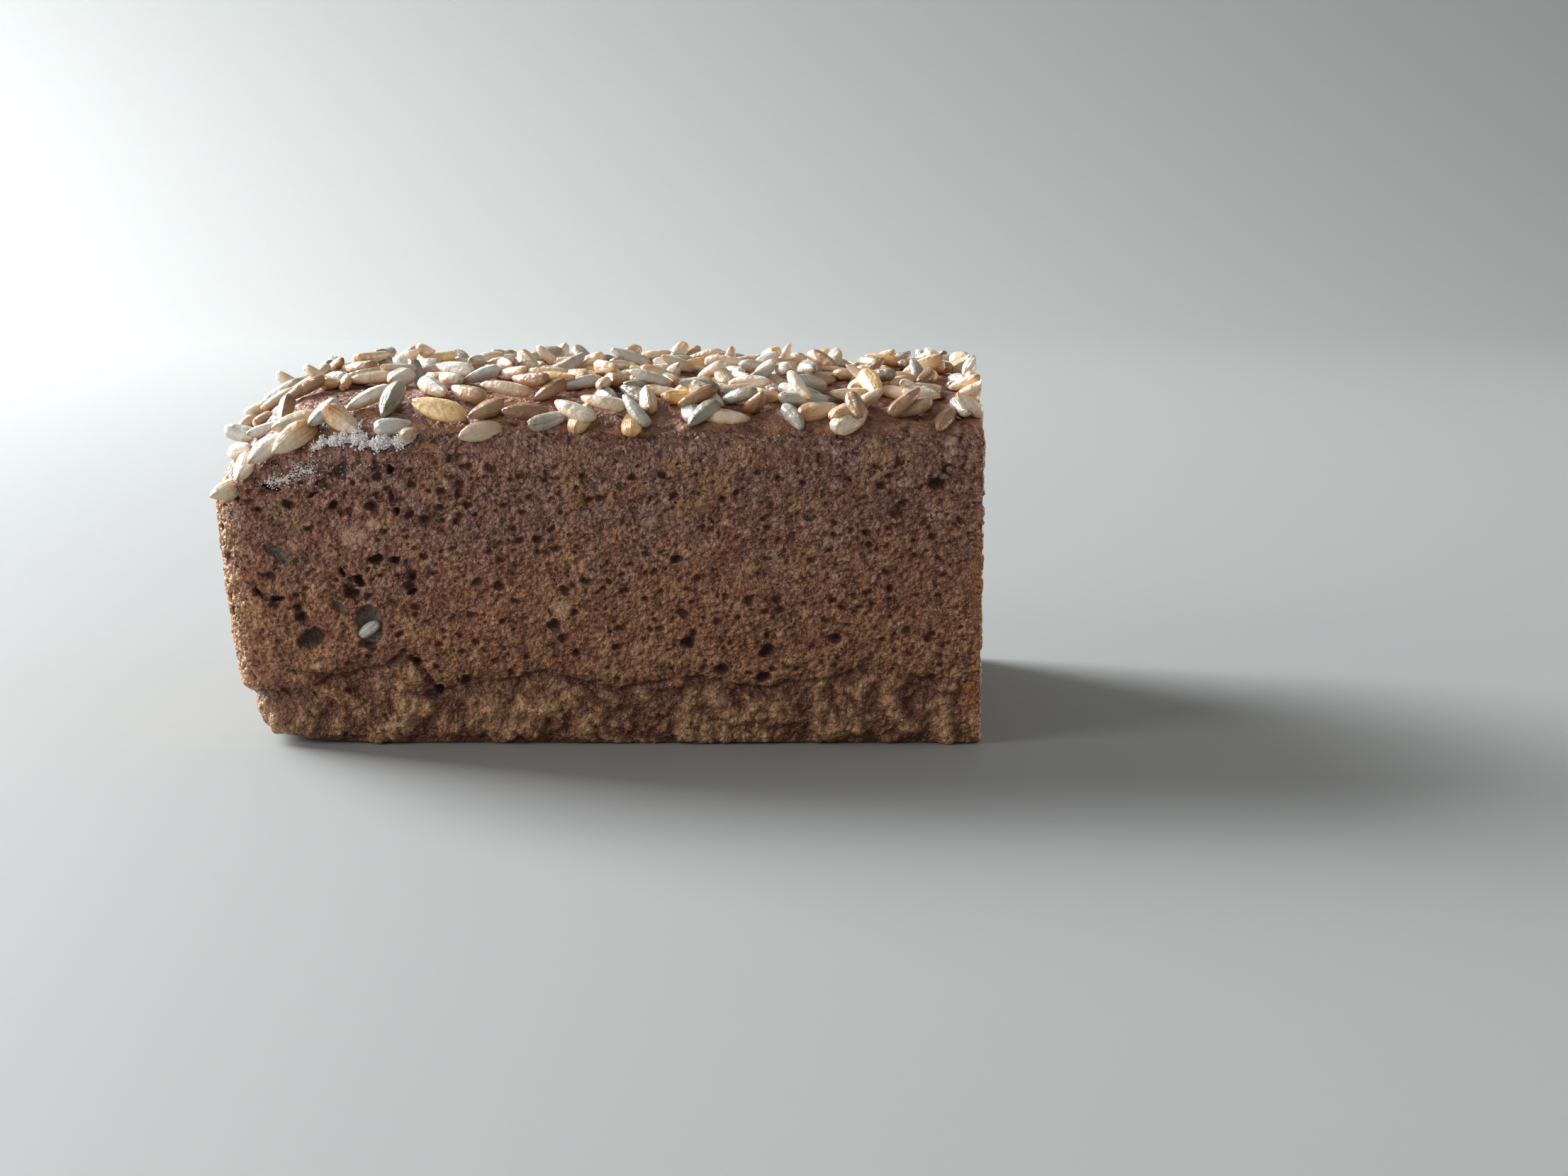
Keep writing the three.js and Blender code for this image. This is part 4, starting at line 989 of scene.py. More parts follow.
def fill_kernels(heap, count):
    """Small kernels between and on the solid's. Each rests with its two ends and its middle on what lies
    there already, a little rolled to one side, or stands on its end. None is much above the solid's top."""
    draw = seeded_draws(4421)
    highest = cad_box[1][2] / MM + 0.6
    placed = []
    for n in FILL_TRIES:
        if len(placed) == count:
            break
        spread_x, spread_y = even_spread(n)
        x = mix(HEEL_X + 3.5, CUT_X + 1.5, spread_x) + 2 * (next(draw) - 0.5)
        y = (2 * spread_y - 1) * (TOP_WIDTH / 2 - 4.5) + 2 * (next(draw) - 0.5)
        heading = 2 * math.pi * next(draw)
        scale = mix(0.8, 1.06, next(draw))
        slim = mix(0.8, 1.08, next(draw))
        stand, roll = next(draw), 1.6 * (next(draw) - 0.5)
        if bare_patch(x, y) or among_corner_kernels(x, y, 3.5):
            continue
        sizes = kernel_sizes(scale, slim)
        bare = top_height(x, y)
        reach = 0.38 * sizes[0]
        east, north = math.cos(heading) * reach, math.sin(heading) * reach
        tail, middle, head = heap.at(x - east, y - north), heap.at(x, y), heap.at(x + east, y + north)
        slope = max(-STEEPEST, min(STEEPEST, math.atan2(head - tail, 2 * reach)))
        level = max((head + tail) / 2, middle) + 0.26 * sizes[2]
        if stand > STANDING_FROM:
            slope = math.copysign(mix(0.35, 0.8, (stand - STANDING_FROM) / 0.14), 0.5 - spread_x)
            level = (bare + level) / 2 + 1.0
        top = level + abs(math.sin(slope)) * sizes[0] / 2
        if top > highest or level - bare > 1.9 * KERNEL_THICKNESS:
            continue
        normal = top_normal(x, y) * 0.7 + np.array([0.0, 0.0, 0.3])
        along = pointing(heading, slope)
        side = leftwards(heading)
        across = side - normal * np.dot(side, normal) / np.dot(normal, normal)
        across = unit(across - along * np.dot(across, along))
        rolled = across * math.cos(roll) + np.cross(along, across) * math.sin(roll)
        axes = np.stack([along, rolled, np.cross(along, rolled)])
        centre = np.array([x, y, level + 0.3 * abs(math.sin(roll)) * (sizes[1] - sizes[2])])
        heap.lay(centre, axes, sizes)
        placed.append((centre, axes, sizes))
    return placed


def place_kernels():
    """All kernels of the top as placed shapes: the solid's own, listed and by rule, then the fill."""
    by_rule = rim_kernels(RIM_KERNELS) + top_kernels(TOP_KERNELS)
    placed = corner_kernels() + [placed_by_rule(kernel) for kernel in by_rule]
    heap = HeapSurface()
    for shape in placed:
        heap.lay(*shape)
    return placed + fill_kernels(heap, FILL_KERNELS)


def join_kernels(name, placed, tones, toasts, seed, limit_x):
    """Kernels as one mesh: the unit form bent, curled and twisted by squares and products of its coordinates,
    roughened, scaled and turned into place as whole arrays, with what passes the knife's plane pressed flat
    to it. Attributes: tone and toast of each kernel, the place along it, from 0 at its pointed end to 1, and
    the side, from one thin edge, -1, to the other, 1."""
    form, quads, triangles, places, sides = kernel_form()
    count = len(placed)
    rng = np.random.default_rng(seed)
    centres, axes, sizes = (np.array(column) for column in zip(*placed))
    bend = rng.uniform(-0.14, 0.14, (count, 1))
    curl = rng.uniform(-0.1, 0.18, (count, 1))
    twist = rng.uniform(-0.5, 0.5, (count, 1))
    shape = np.repeat(form[None], count, axis=0)
    shape[:, :, 1] += bend * (4 * shape[:, :, 0] ** 2 - 0.4) * 0.6
    shape[:, :, 2] += curl * (4 * shape[:, :, 0] ** 2 - 0.4) + twist * shape[:, :, 0] * shape[:, :, 1]
    shape *= 1 + rng.normal(0, 0.03, shape.shape)
    points = np.einsum("kpi,kij->kpj", shape * sizes[:, None, :], axes) + centres[:, None, :]
    points[:, :, 0] = np.minimum(points[:, :, 0], limit_x)
    first = (np.arange(count) * len(form))[:, None, None]
    grid = (count, len(form))
    attributes = {
        "tone": np.broadcast_to(np.asarray(tones)[:, None], grid),
        "toast": np.broadcast_to(np.asarray(toasts)[:, None], grid),
        "place": np.broadcast_to(places, grid),
        "side": np.broadcast_to(sides, grid),
    }
    return write_mesh(name, points, quads[None] + first, triangles[None] + first, attributes)


KERNEL_KINDS = ("cream_kernels", "grey_kernels", "toasted_kernels", "yellow_kernels")
TOASTED_BELOW, GREY_BELOW, YELLOW_ABOVE = 0.14, 0.42, 0.96  # draws that give a kernel another kind than cream
MORE_TOASTED = 0.05  # how far the draw is lowered at the far side, and raised at the near one
# The moist grey kernel in the near side's largest hollow: distance from the heel, height, distance behind the
# face, slope in radians, length and width, tone
HOLLOW_KERNEL = (30.0, 22.9, 1.4, 0.62, 6.8, 2.7, 0.3)


def hollow_kernel():
    """The kernel in the largest hollow, as a placed shape."""
    from_heel, z, behind, slope, length, width, _ = HOLLOW_KERNEL
    centre = np.array([HEEL_X + from_heel, behind - half_width_at(z), z])
    axes = axes_over(np.array([0.0, -0.86, 0.5]), pointing(0.0, slope))
    return centre, axes, np.array([length, width, 2.4])


def top_kernel_pieces():
    """Four kinds: cream, grey, toasted and yellow kernels, as listed or by a seeded draw, the toasted ones
    more often on the far half, where the oven was hotter. The hollow's kernel is among the grey ones."""
    placed = place_kernels()
    listed = np.array(CORNER_KERNELS)[:, 7:]
    rng = np.random.default_rng(88)
    far = np.array([centre[1] for centre, _, _ in placed]) / (TOP_WIDTH / 2)
    chance = rng.random(len(placed)) - MORE_TOASTED * far
    kind = np.select([chance < TOASTED_BELOW, chance < GREY_BELOW, chance > YELLOW_ABOVE], [2, 1, 3], 0)
    tones, toasts = rng.random(len(placed)), rng.random(len(placed)) ** 1.4
    kind[: len(listed)], tones[: len(listed)], toasts[: len(listed)] = listed.T
    pieces = []
    for number, name in enumerate(KERNEL_KINDS):
        some = np.flatnonzero(kind == number)
        shapes, own_tones, own_toasts = [placed[n] for n in some], list(tones[some]), list(toasts[some])
        if name == "grey_kernels":
            shapes.append(hollow_kernel())
            own_tones.append(HOLLOW_KERNEL[-1])
            own_toasts.append(0.0)
        pieces.append(join_kernels(name, shapes, own_tones, own_toasts, 200 + number, CUT_X + 0.1))
    return pieces


# ---- crumbs on the crust ----

HEAPED_FROM = 0.18  # the crumbs of a line lie in a heap if their size is more than this
# Pale crumbs on the near side, in lines: ends as distance from the heel and height, spread, count, size
CRUMB_LINES = (
    (22.4, 60.6, 26.3, 60.9, 0.5, 1000, 0.2),
    (26.3, 61.2, 31.0, 61.4, 0.7, 1500, 0.2),
    (30.4, 60.4, 35.2, 60.2, 0.65, 1500, 0.2),
    (34.6, 60.6, 39.6, 60.9, 0.7, 1200, 0.2),
    (11.8, 53.0, 16.2, 53.6, 0.9, 330, 0.12),
    (16.2, 54.2, 21.3, 55.6, 1.6, 330, 0.12),
    (20.6, 59.6, 22.4, 60.0, 0.6, 150, 0.16),
    (4.5, 47.0, 7.5, 43.0, 1.4, 90, 0.1),
    (5.0, 52.0, 34.0, 57.0, 3.0, 120, 0.1),
)


def near_surface(from_heel, z):
    """Points and outward directions on the near side at heights up to a little over the shoulder: the wall's
    below it, and above it the dome's, whose inset is found by halving."""
    widest_inset, halvings = 6.0, 22
    x = HEEL_X + from_heel
    low, high = np.zeros(x.shape), np.full(x.shape, widest_inset)
    for _ in range(halvings):
        middle = (low + high) / 2
        short = top_height(x, middle - TOP_WIDTH / 2) < z
        low, high = np.where(short, middle, low), np.where(short, high, middle)
    on_wall = z < shoulder_height(x, -TOP_WIDTH / 2 + 0 * x)
    inset = np.where(on_wall, 0, low)
    corner = np.clip(HEEL_CORNER_RADIUS - from_heel, 0, HEEL_CORNER_RADIUS)
    rounding = HEEL_CORNER_RADIUS - np.sqrt(HEEL_CORNER_RADIUS**2 - corner**2)
    y = np.where(on_wall, -half_width_at(z) + rounding, inset - TOP_WIDTH / 2)
    tilt = np.where(on_wall, 0.0, 0.7)
    west = corner / HEEL_CORNER_RADIUS * np.where(on_wall, 0.9, 0.4)
    outward_way = np.stack([-west, -np.cos(tilt) * (1 - 0.3 * west), np.sin(tilt)], axis=1)
    return np.stack([x, y, z], axis=1), outward_way / np.linalg.norm(outward_way, axis=1, keepdims=True)


def crumb_form():
    """A twenty-faced crumb of radius 1: the icosahedron's corners and faces."""
    golden = (1 + 5**0.5) / 2
    points = []
    for a in (-1, 1):
        for b in (-golden, golden):
            points += [(0, a, b), (a, b, 0), (b, 0, a)]
    points = np.array(points) / math.hypot(1, golden)
    apart = np.linalg.norm(points[:, None] - points[None], axis=2)
    side = 2 / math.hypot(1, golden)
    joined = np.abs(apart - side) < 0.01
    i, j, k = np.meshgrid(*[np.arange(12)] * 3, indexing="ij")
    chosen = (i < j) & (j < k) & joined[i, j] & joined[j, k] & joined[i, k]
    faces = np.stack([i[chosen], j[chosen], k[chosen]], axis=1)
    a, b, c = (points[faces[:, n]] for n in range(3))
    turned = np.einsum("ij,ij->i", a, np.cross(b, c)) < 0
    faces[turned] = faces[turned][:, ::-1]
    return points, faces


def pale_crumbs():
    """Pale crumbs as one mesh: rough twenty-faced grains of drawn sizes, scattered by a normal draw about the
    lines, and heaped on them the larger they are."""
    form, faces = crumb_form()
    rng = np.random.default_rng(64)
    places, sizes = [], []
    for start, low, end, high, spread, count, size in CRUMB_LINES:
        share = rng.random(count)
        thick = 0.55 + 0.45 * np.sin(share * 9 + size * 40)
        from_heel = mix(start, end, share) + rng.normal(0, spread * 0.5, count)
        z = mix(low, high, share) + rng.normal(0, spread, count) * thick
        point, way = near_surface(np.maximum(from_heel, 0.5), z)
        radius = size * rng.uniform(0.45, 1.25, count)
        heap = rng.random(count) ** 1.5 * spread * (2.1 if size > HEAPED_FROM else 0.3)
        places.append(point + way * (radius * 0.2 + heap * thick)[:, None])
        sizes.append(radius)
    places, sizes = np.concatenate(places), np.concatenate(sizes)
    count = len(places)
    rough = rng.uniform(0.45, 1.4, (count, len(form), 1)) * rng.uniform(0.55, 1.5, (count, 1, 3))
    points = form[None] * rough * sizes[:, None, None] + places[:, None, :]
    first = (np.arange(count) * len(form))[:, None, None]
    tone = np.where(sizes > 0.16, 0.3, 0.9) * rng.uniform(0.4, 1.1, count)
    attributes = {"tone": np.repeat(tone, len(form))}
    return write_mesh("pale_crumbs", points, (), faces[None] + first, attributes)


# ---- kernels on the cut ----


def cut_places(count, seed):
    """Places on the cut, clear of the crust, by the solid's rule: an even spread, moved a little."""
    draw = seeded_draws(seed)
    places = []
    n = -1
    while len(places) < count:
        n += 1
        spread_y, spread_z = even_spread(n)
        y = (TOP_WIDTH - 14) * (spread_y - 0.5) + 5 * (next(draw) - 0.5)
        z = mix(6, CROWN_HEIGHT - 5, spread_z) + 5 * (next(draw) - 0.5)
        turn, size = math.pi * next(draw), next(draw)
        if z < top_height(CUT_X, y) - 5 and z > 4.5:
            places.append((y, z, turn, size))
    return places


def crumb_kernels():
    """Kernels bared by the knife: the solid's first, nearly in the plane of the cut, then smaller ones by the
    same rule, which dip into the crumb and show only in part."""
    placed = []
    rng = np.random.default_rng(32)
    for n, (y, z, turn, size) in enumerate(cut_places(CRUMB_KERNELS, 911)):
        own = n < CUT_KERNELS
        scale = mix(1.0, 0.78, size) if own else mix(0.92, 0.5, size)
        dip, sink = rng.uniform(-0.75, 0.75) * (0.25 if own else 1.0), rng.uniform(0.26, 0.4)
        along = np.array([math.sin(dip), math.cos(dip) * math.cos(turn), math.cos(dip) * math.sin(turn)])
        ahead = unit(np.array([1.0, 0.0, 0.0]) - along * along[0])
        axes = np.stack([along, np.cross(ahead, along), ahead])
        centre = np.array([CUT_X - KERNEL_THICKNESS * scale * sink, y, z])
        sizes = scale * np.array([KERNEL_LENGTH * 0.82, KERNEL_WIDTH * 0.9, KERNEL_THICKNESS])
        placed.append((centre, axes, sizes))
    tones, toasts = np.random.default_rng(31).random((2, len(placed)))
    return join_kernels("crumb_kernels", placed, tones, toasts**4, 301, CUT_X + 0.45)


# ---- materials ----


def colour(red, green, blue):
    """A colour in linear light."""
    return (red, green, blue, 1.0)


class Nodes:
    """A shader tree, and the place at which its textures are read. Each kind of node has a call that returns
    the node's output, and takes values or other nodes' outputs."""

    def __init__(self, tree):
        self.tree = tree
        self.place = None

    def put(self, kind, inputs=None, **settings):
        """Adds a node with its settings, then its inputs by name or number, and returns the node itself."""
        node = self.tree.nodes.new(kind)
        for key, value in settings.items():
            setattr(node, key, value)
        for key, value in (inputs or {}).items():
            if isinstance(value, bpy.types.NodeSocket):
                self.tree.links.new(value, node.inputs[key])
            else:
                node.inputs[key].default_value = value
        return node

    def maths(self, operation, a, b=0.5, clamp=False):
        """A Math node."""
        return self.put("ShaderNodeMath", {0: a, 1: b}, operation=operation, use_clamp=clamp).outputs[0]

    def times(self, a, b, clamp=False):
        """A product."""
        return self.maths("MULTIPLY", a, b, clamp)

    def plus(self, a, b, clamp=False):
        """A sum."""
        return self.maths("ADD", a, b, clamp)

    def minus(self, a, b, clamp=False):
        """A difference."""
        return self.maths("SUBTRACT", a, b, clamp)

    def ramp(self, value, low, high, to_low=0.0, to_high=1.0):
        """A value carried from one range to another, and kept in it."""
        inputs = {"Value": value, "From Min": low, "From Max": high, "To Min": to_low, "To Max": to_high}
        return self.put("ShaderNodeMapRange", inputs).outputs["Result"]

    def blend(self, share, a, b, mode="MIX"):
        """A mix of two colours."""
        return self.put("ShaderNodeMix", {0: share, 6: a, 7: b}, data_type="RGBA", blend_type=mode).outputs[2]

    def attribute(self, name):
        """A mesh attribute."""
        return self.put("ShaderNodeAttribute", attribute_name=name).outputs["Fac"]

    def noise(self, scale, detail=3.0, roughness=0.55, output="Fac"):
        """A noise texture."""
        inputs = {"Vector": self.place, "Scale": scale, "Detail": detail, "Roughness": roughness}
        return self.put("ShaderNodeTexNoise", inputs).outputs[output]

    def patches(self, scale, detail, low, high, most):
        """Soft patches: 0 where a noise is below low, rising to the most where it is above high."""
        return self.ramp(self.noise(scale, detail), low, high, 0.0, most)

    def wander(self, scale, detail, width):
        """A noise that wanders about zero, over a width."""
        return self.times(self.minus(self.noise(scale, detail), 0.5), width)


class Group(Nodes):
    """A shader node group being built, with a Vector and other named inputs, as name, kind and default, and
    named outputs."""

    def __init__(self, name, inputs, outputs):
        super().__init__(bpy.data.node_groups.new(name, "ShaderNodeTree"))
        sockets = [("Vector", "Vector", None, "INPUT")] + [(*row, "INPUT") for row in inputs]
        for title, kind, default, way in sockets + [(*row, None, "OUTPUT") for row in outputs]:
            made = self.tree.interface.new_socket(name=title, in_out=way, socket_type="NodeSocket" + kind)
            if default is not None:
                made.default_value = default
        self.given = self.put("NodeGroupInput").outputs
        self.place = self.given["Vector"]


def mottle_group():
    """Shader group: a colour that wanders from a middle one to a dark and a light one, in soft patches broken
    up by a finer noise."""
    numbers = [("Patches per metre", "Float", 120.0), ("Contrast", "Float", 1.0)]
    colours = [(name, "Color", None) for name in ("Middle", "Dark", "Light")]
    group = Group("baked_mottle", numbers + colours, [("Color", "Color")])
    given, often = group.given, group.given["Patches per metre"]
    coarse = group.times(group.noise(often, 4.0, 0.6), 0.62)
    fine = group.times(group.noise(group.times(often, 5.3), 2.0, 0.5), 0.38)
    centred = group.times(group.minus(group.plus(coarse, fine), 0.5), given["Contrast"])
    shade = group.blend(group.times(centred, -6.5, True), given["Middle"], given["Dark"])
    shade = group.blend(group.times(centred, 6.5, True), shade, given["Light"])
    group.put("NodeGroupOutput", {"Color": shade})
    return group.tree


def grain_group():
    """Shader group: moist grains with crevices between them, and ragged pits. Two warped patterns of convex
    cells make the grains, a noise cut off low makes the pits. Height is the relief, Crevice and Pit are
    masks, into which the finishes paint shade."""
    inputs = [("Grains per metre", "Float", 800.0), ("Openness", "Float", 0.4)]
    group = Group("moist_grains", inputs, [(name, "Float") for name in ("Height", "Crevice", "Pit")])
    often, openness = group.given["Grains per metre"], group.given["Openness"]

    def vectors(operation, inputs):
        """A Vector Math node."""
        return group.put("ShaderNodeVectorMath", inputs, operation=operation).outputs[0]

    shift = vectors("SUBTRACT", {0: group.noise(620.0, 2.0, 0.6, "Color"), 1: (0.5, 0.5, 0.5)})
    warped = vectors("ADD", {0: group.place, 1: vectors("SCALE", {0: shift, "Scale": 0.0016})})

    def cells(scale):
        """Distance from the middle of the nearest cell of the warped pattern."""
        inputs = {"Vector": warped, "Scale": scale}
        return group.put("ShaderNodeTexVoronoi", inputs, feature="F1").outputs["Distance"]

    coarse, fine = group.times(cells(often), 0.75), group.times(cells(group.times(often, 2.1)), 0.3)
    height = group.minus(1.0, group.plus(coarse, fine))
    pit = group.ramp(group.noise(640.0, 3.0, 0.6), openness, group.minus(openness, 0.06))
    group.put("NodeGroupOutput", {"Height": height, "Crevice": group.ramp(height, 0.42, 0.24), "Pit": pit})
    return group.tree


MOTTLE = mottle_group()
GRAINS = grain_group()


class Finish(Nodes):
    """A material being painted: its Principled shader, its textures in Object coordinates, and the colour so
    far."""

    def __init__(self, name):
        self.material = bpy.data.materials.new(name)
        self.material.use_nodes = True
        super().__init__(self.material.node_tree)
        self.place = self.put("ShaderNodeTexCoord").outputs["Object"]
        self.shader = self.tree.nodes["Principled BSDF"]
        self.base = None

    def mottled(self, patches, middle, dark, light, contrast=1.0):
        """The mottle group's colour."""
        inputs = {"Vector": self.place, "Patches per metre": patches, "Contrast": contrast}
        inputs.update({"Middle": middle, "Dark": dark, "Light": light})
        return self.put("ShaderNodeGroup", inputs, node_tree=MOTTLE).outputs["Color"]

    def grain(self, per_metre, openness):
        """The grain group's outputs by name."""
        inputs = {"Vector": self.place, "Grains per metre": per_metre, "Openness": openness}
        return self.put("ShaderNodeGroup", inputs, node_tree=GRAINS).outputs

    def paint(self, share, shade, mode="MIX"):
        """Lays a colour over the one so far, by a share."""
        self.base = self.blend(share, self.base, shade, mode)

    def shine(self, roughness, specular, coat=0.0):
        """Sets the uniform finish."""
        self.shader.inputs["Roughness"].default_value = roughness
        self.shader.inputs["Specular IOR Level"].default_value = specular
        self.shader.inputs["Coat Weight"].default_value = coat
        self.shader.inputs["Coat Roughness"].default_value = 0.2

    def glow(self, weight, shares, depth):
        """Lets light a little way in: weight, the share of each colour and the depth in metres."""
        self.shader.inputs["Subsurface Weight"].default_value = weight
        self.shader.inputs["Subsurface Radius"].default_value = shares
        self.shader.inputs["Subsurface Scale"].default_value = depth

    def done(self, *bumps):
        """Links the colour and the bumps, each over the one before: height, strength and distance."""
        self.tree.links.new(self.base, self.shader.inputs["Base Color"])
        normal = None
        for height, strength, distance in bumps:
            inputs = {"Height": height, "Strength": strength, "Distance": distance}
            if normal is not None:
                inputs["Normal"] = normal
            normal = self.put("ShaderNodeBump", inputs).outputs["Normal"]
        if bumps:
            self.tree.links.new(normal, self.shader.inputs["Normal"])
        return self


def pan_crust_finish():
    """Pan crust: mauve brown under the shoulder, ochre brown below, rusty and ochre patches, golden grains at
    the coarse foot, partly painted light, and pale places. Also painted light: browner on the lit heel and
    far side than on the shaded near side, an orange glow at the near corner's edge, glints on the grains, and
    shade that darkens the red-brown pores at every size, the crevices and where the skin sinks."""
    look = Finish("pan_crust_finish")
    axes = look.put("ShaderNodeSeparateXYZ", {0: look.place}).outputs
    lump, pale, edge = (look.attribute(name) for name in ("lump", "pale", "edge"))
    dark = colour(0.125, 0.044, 0.025)
    # Ochre below, mauve above. Less mauve away from the near side is painted light: the near side's colours
    # are set for the shade it stands in, and the lit heel and far side are kept from turning pink
    rise = look.ramp(look.plus(axes["Z"], look.wander(70.0, 3.0, 0.06)), 0.026, 0.052)
    rise = look.times(rise, look.ramp(axes["Y"], -0.0485, -0.043, 1.0, 0.35))
    low = look.mottled(330.0, colour(0.37, 0.147, 0.07), dark, colour(0.6, 0.31, 0.152))
    high = look.mottled(330.0, colour(0.3, 0.133, 0.1), dark, colour(0.52, 0.3, 0.25))
    look.base = look.blend(rise, low, high)
    look.paint(look.patches(120.0, 2.0, 0.53, 0.64, 0.6), colour(0.48, 0.25, 0.11))
    look.paint(look.patches(170.0, 3.0, 0.54, 0.66, 0.6), colour(0.3, 0.095, 0.045))
    # The foot, golden where its grains stand out and red-brown between them: partly its own colour, partly
    # painted light on the raised grains and painted shade between them
    grains = look.blend(look.ramp(lump, -0.35, 0.6), colour(0.24, 0.082, 0.038), colour(0.61, 0.325, 0.15))
    foot = look.mottled(360.0, grains, dark, colour(0.66, 0.395, 0.2), 0.8)
    look.paint(look.times(look.attribute("foot"), 0.85, True), foot)
    # Painted light: a browner colour on the lit heel and far side, the redder one kept on the shaded near
    # side
    look.paint(look.ramp(axes["Y"], -0.053, -0.044), colour(0.74, 0.94, 1.0), "MULTIPLY")
    # Painted light: an orange glow where light comes through the crust at the near corner's edge
    look.paint(look.times(edge, 0.75), colour(0.52, 0.26, 0.1))
    # Painted shade where the skin sinks: in the creases and under the foot's line
    look.paint(look.ramp(lump, -0.15, -0.8, 0.0, 0.85), dark)
    # Painted glints, and painted shade in the crevices and small open pits, weaker low down, the pits weaker
    # on pale places too
    sharp = look.ramp(axes["Z"], 0.012, 0.042, 0.68, 1.0)
    bare = look.minus(1.0, look.times(pale, 0.6), True)
    grain = look.grain(780.0, 0.395)
    # Painted highlights: light specks for glints on the grains, more of them by the near corner's edge and
    # high up
    painted_glints = look.times(look.patches(2100.0, 1.0, 0.61, 0.7, 0.75), look.ramp(edge, 0.0, 0.6, 0.4, 0.55))
    painted_glints = look.times(painted_glints, look.ramp(axes["Z"], 0.012, 0.042, 0.45, 1.0))
    look.paint(painted_glints, colour(0.66, 0.53, 0.46))
    look.paint(look.times(grain["Crevice"], look.times(sharp, 0.5)), dark)
    open_pit = look.times(grain["Pit"], look.times(sharp, bare))
    look.paint(look.times(open_pit, 0.8), colour(0.085, 0.03, 0.018))
    # Pale places, broken up
    broken = look.ramp(look.noise(900.0, 2.0), 0.35, 0.6, 0.3, 0.75)
    look.paint(look.times(pale, broken, True), colour(0.54, 0.33, 0.215))
    # The mesh's own pores, ragged, rough towards their bottoms, with painted shade that darkens them there,
    # grey where that is listed
    pit = look.plus(look.attribute("pit"), look.wander(1100.0, 2.0, 0.55))
    bottom = look.blend(look.ramp(pit, 0.6, 1.1), colour(0.12, 0.046, 0.028), colour(0.02, 0.01, 0.008))
    bottom = look.blend(look.attribute("grey"), bottom, colour(0.21, 0.155, 0.12))
    look.paint(look.ramp(pit, 0.14, 0.46), bottom)
    look.shine(0.45, 0.4)
    look.tree.links.new(look.ramp(pit, 0.0, 0.5, 0.39, 0.85), look.shader.inputs["Roughness"])
    relief = look.times(grain["Height"], look.times(sharp, bare))
    closed = look.minus(1.0, open_pit)
    return look.done((relief, 1.0, 0.0012), (closed, 1.0, 0.0005), (look.noise(2000.0, 2.0), 0.4, 0.0003))


def top_crust_finish():
    """Baked skin: satin, pink brown to mauve, with golden thin places, fine wrinkles and burst pores, and
    painted shade in its crevices, pits and pores.
    """
    look = Finish("top_crust_finish")
    dark = colour(0.12, 0.045, 0.028)
    look.base = look.mottled(230.0, colour(0.29, 0.128, 0.08), dark, colour(0.46, 0.25, 0.175))
    look.paint(look.patches(110.0, 3.0, 0.52, 0.66, 0.75), colour(0.4, 0.2, 0.08))
    grain = look.grain(620.0, 0.37)
    # Painted shade in the crevices, the small pits and the mesh's burst pores
    look.paint(look.times(grain["Crevice"], 0.35), dark)
    look.paint(look.times(grain["Pit"], 0.7), colour(0.06, 0.02, 0.014))
    look.paint(look.times(look.attribute("pit"), 0.9, True), colour(0.04, 0.015, 0.01))
    look.shine(0.44, 0.35)
    return look.done((grain["Height"], 0.7, 0.0009), (look.noise(1500.0, 3.0), 0.8, 0.0004))


def crumb_finish():
    """Moist taupe crumb with ochre patches, pale flecks of grain, and pores and crevices painted brown as
    shade, darker where they are deep, and with a crust round it that goes from gold to rusty brown outwards."""
    look = Finish("crumb_finish")
    brown, dark, light = colour(0.15, 0.089, 0.05), colour(0.22, 0.15, 0.095), colour(0.6, 0.495, 0.375)
    look.base = look.mottled(420.0, colour(0.4, 0.3, 0.205), dark, light)
    look.paint(look.patches(300.0, 3.0, 0.54, 0.66, 0.5), colour(0.5, 0.33, 0.175))
    look.paint(look.patches(1500.0, 1.0, 0.6, 0.7, 0.6), colour(0.66, 0.6, 0.48))
    # Distance from the section's edge in millimetres, made to wander
    edge = look.plus(look.attribute("edge"), look.wander(330.0, 3.0, 3.4))
    look.paint(look.ramp(edge, 3.4, 1.5, 0.0, 0.8), colour(0.46, 0.215, 0.075))
    rust = look.mottled(500.0, colour(0.34, 0.115, 0.034), colour(0.15, 0.045, 0.016), colour(0.5, 0.2, 0.06))
    look.paint(look.ramp(edge, 1.9, 0.6, 0.0, 0.95), rust)
    grain = look.grain(1000.0, 0.41)
    # Painted shade in the crevices between grains and in the small pits
    look.paint(look.times(grain["Crevice"], 0.4), brown)
    look.paint(look.times(grain["Pit"], 0.6), colour(0.1, 0.064, 0.036))
    # The mesh's own pores, ragged, with painted shade that darkens towards their bottoms
    pit = look.plus(look.attribute("pit"), look.wander(1300.0, 2.0, 0.4))
    bottom = look.blend(look.ramp(pit, 0.65, 1.05), brown, colour(0.045, 0.026, 0.015))
    look.paint(look.ramp(pit, 0.12, 0.42), bottom)
    look.shine(0.4, 0.5)
    return look.done((grain["Height"], 0.9, 0.0009), (look.noise(2400.0, 2.0), 0.6, 0.0003))


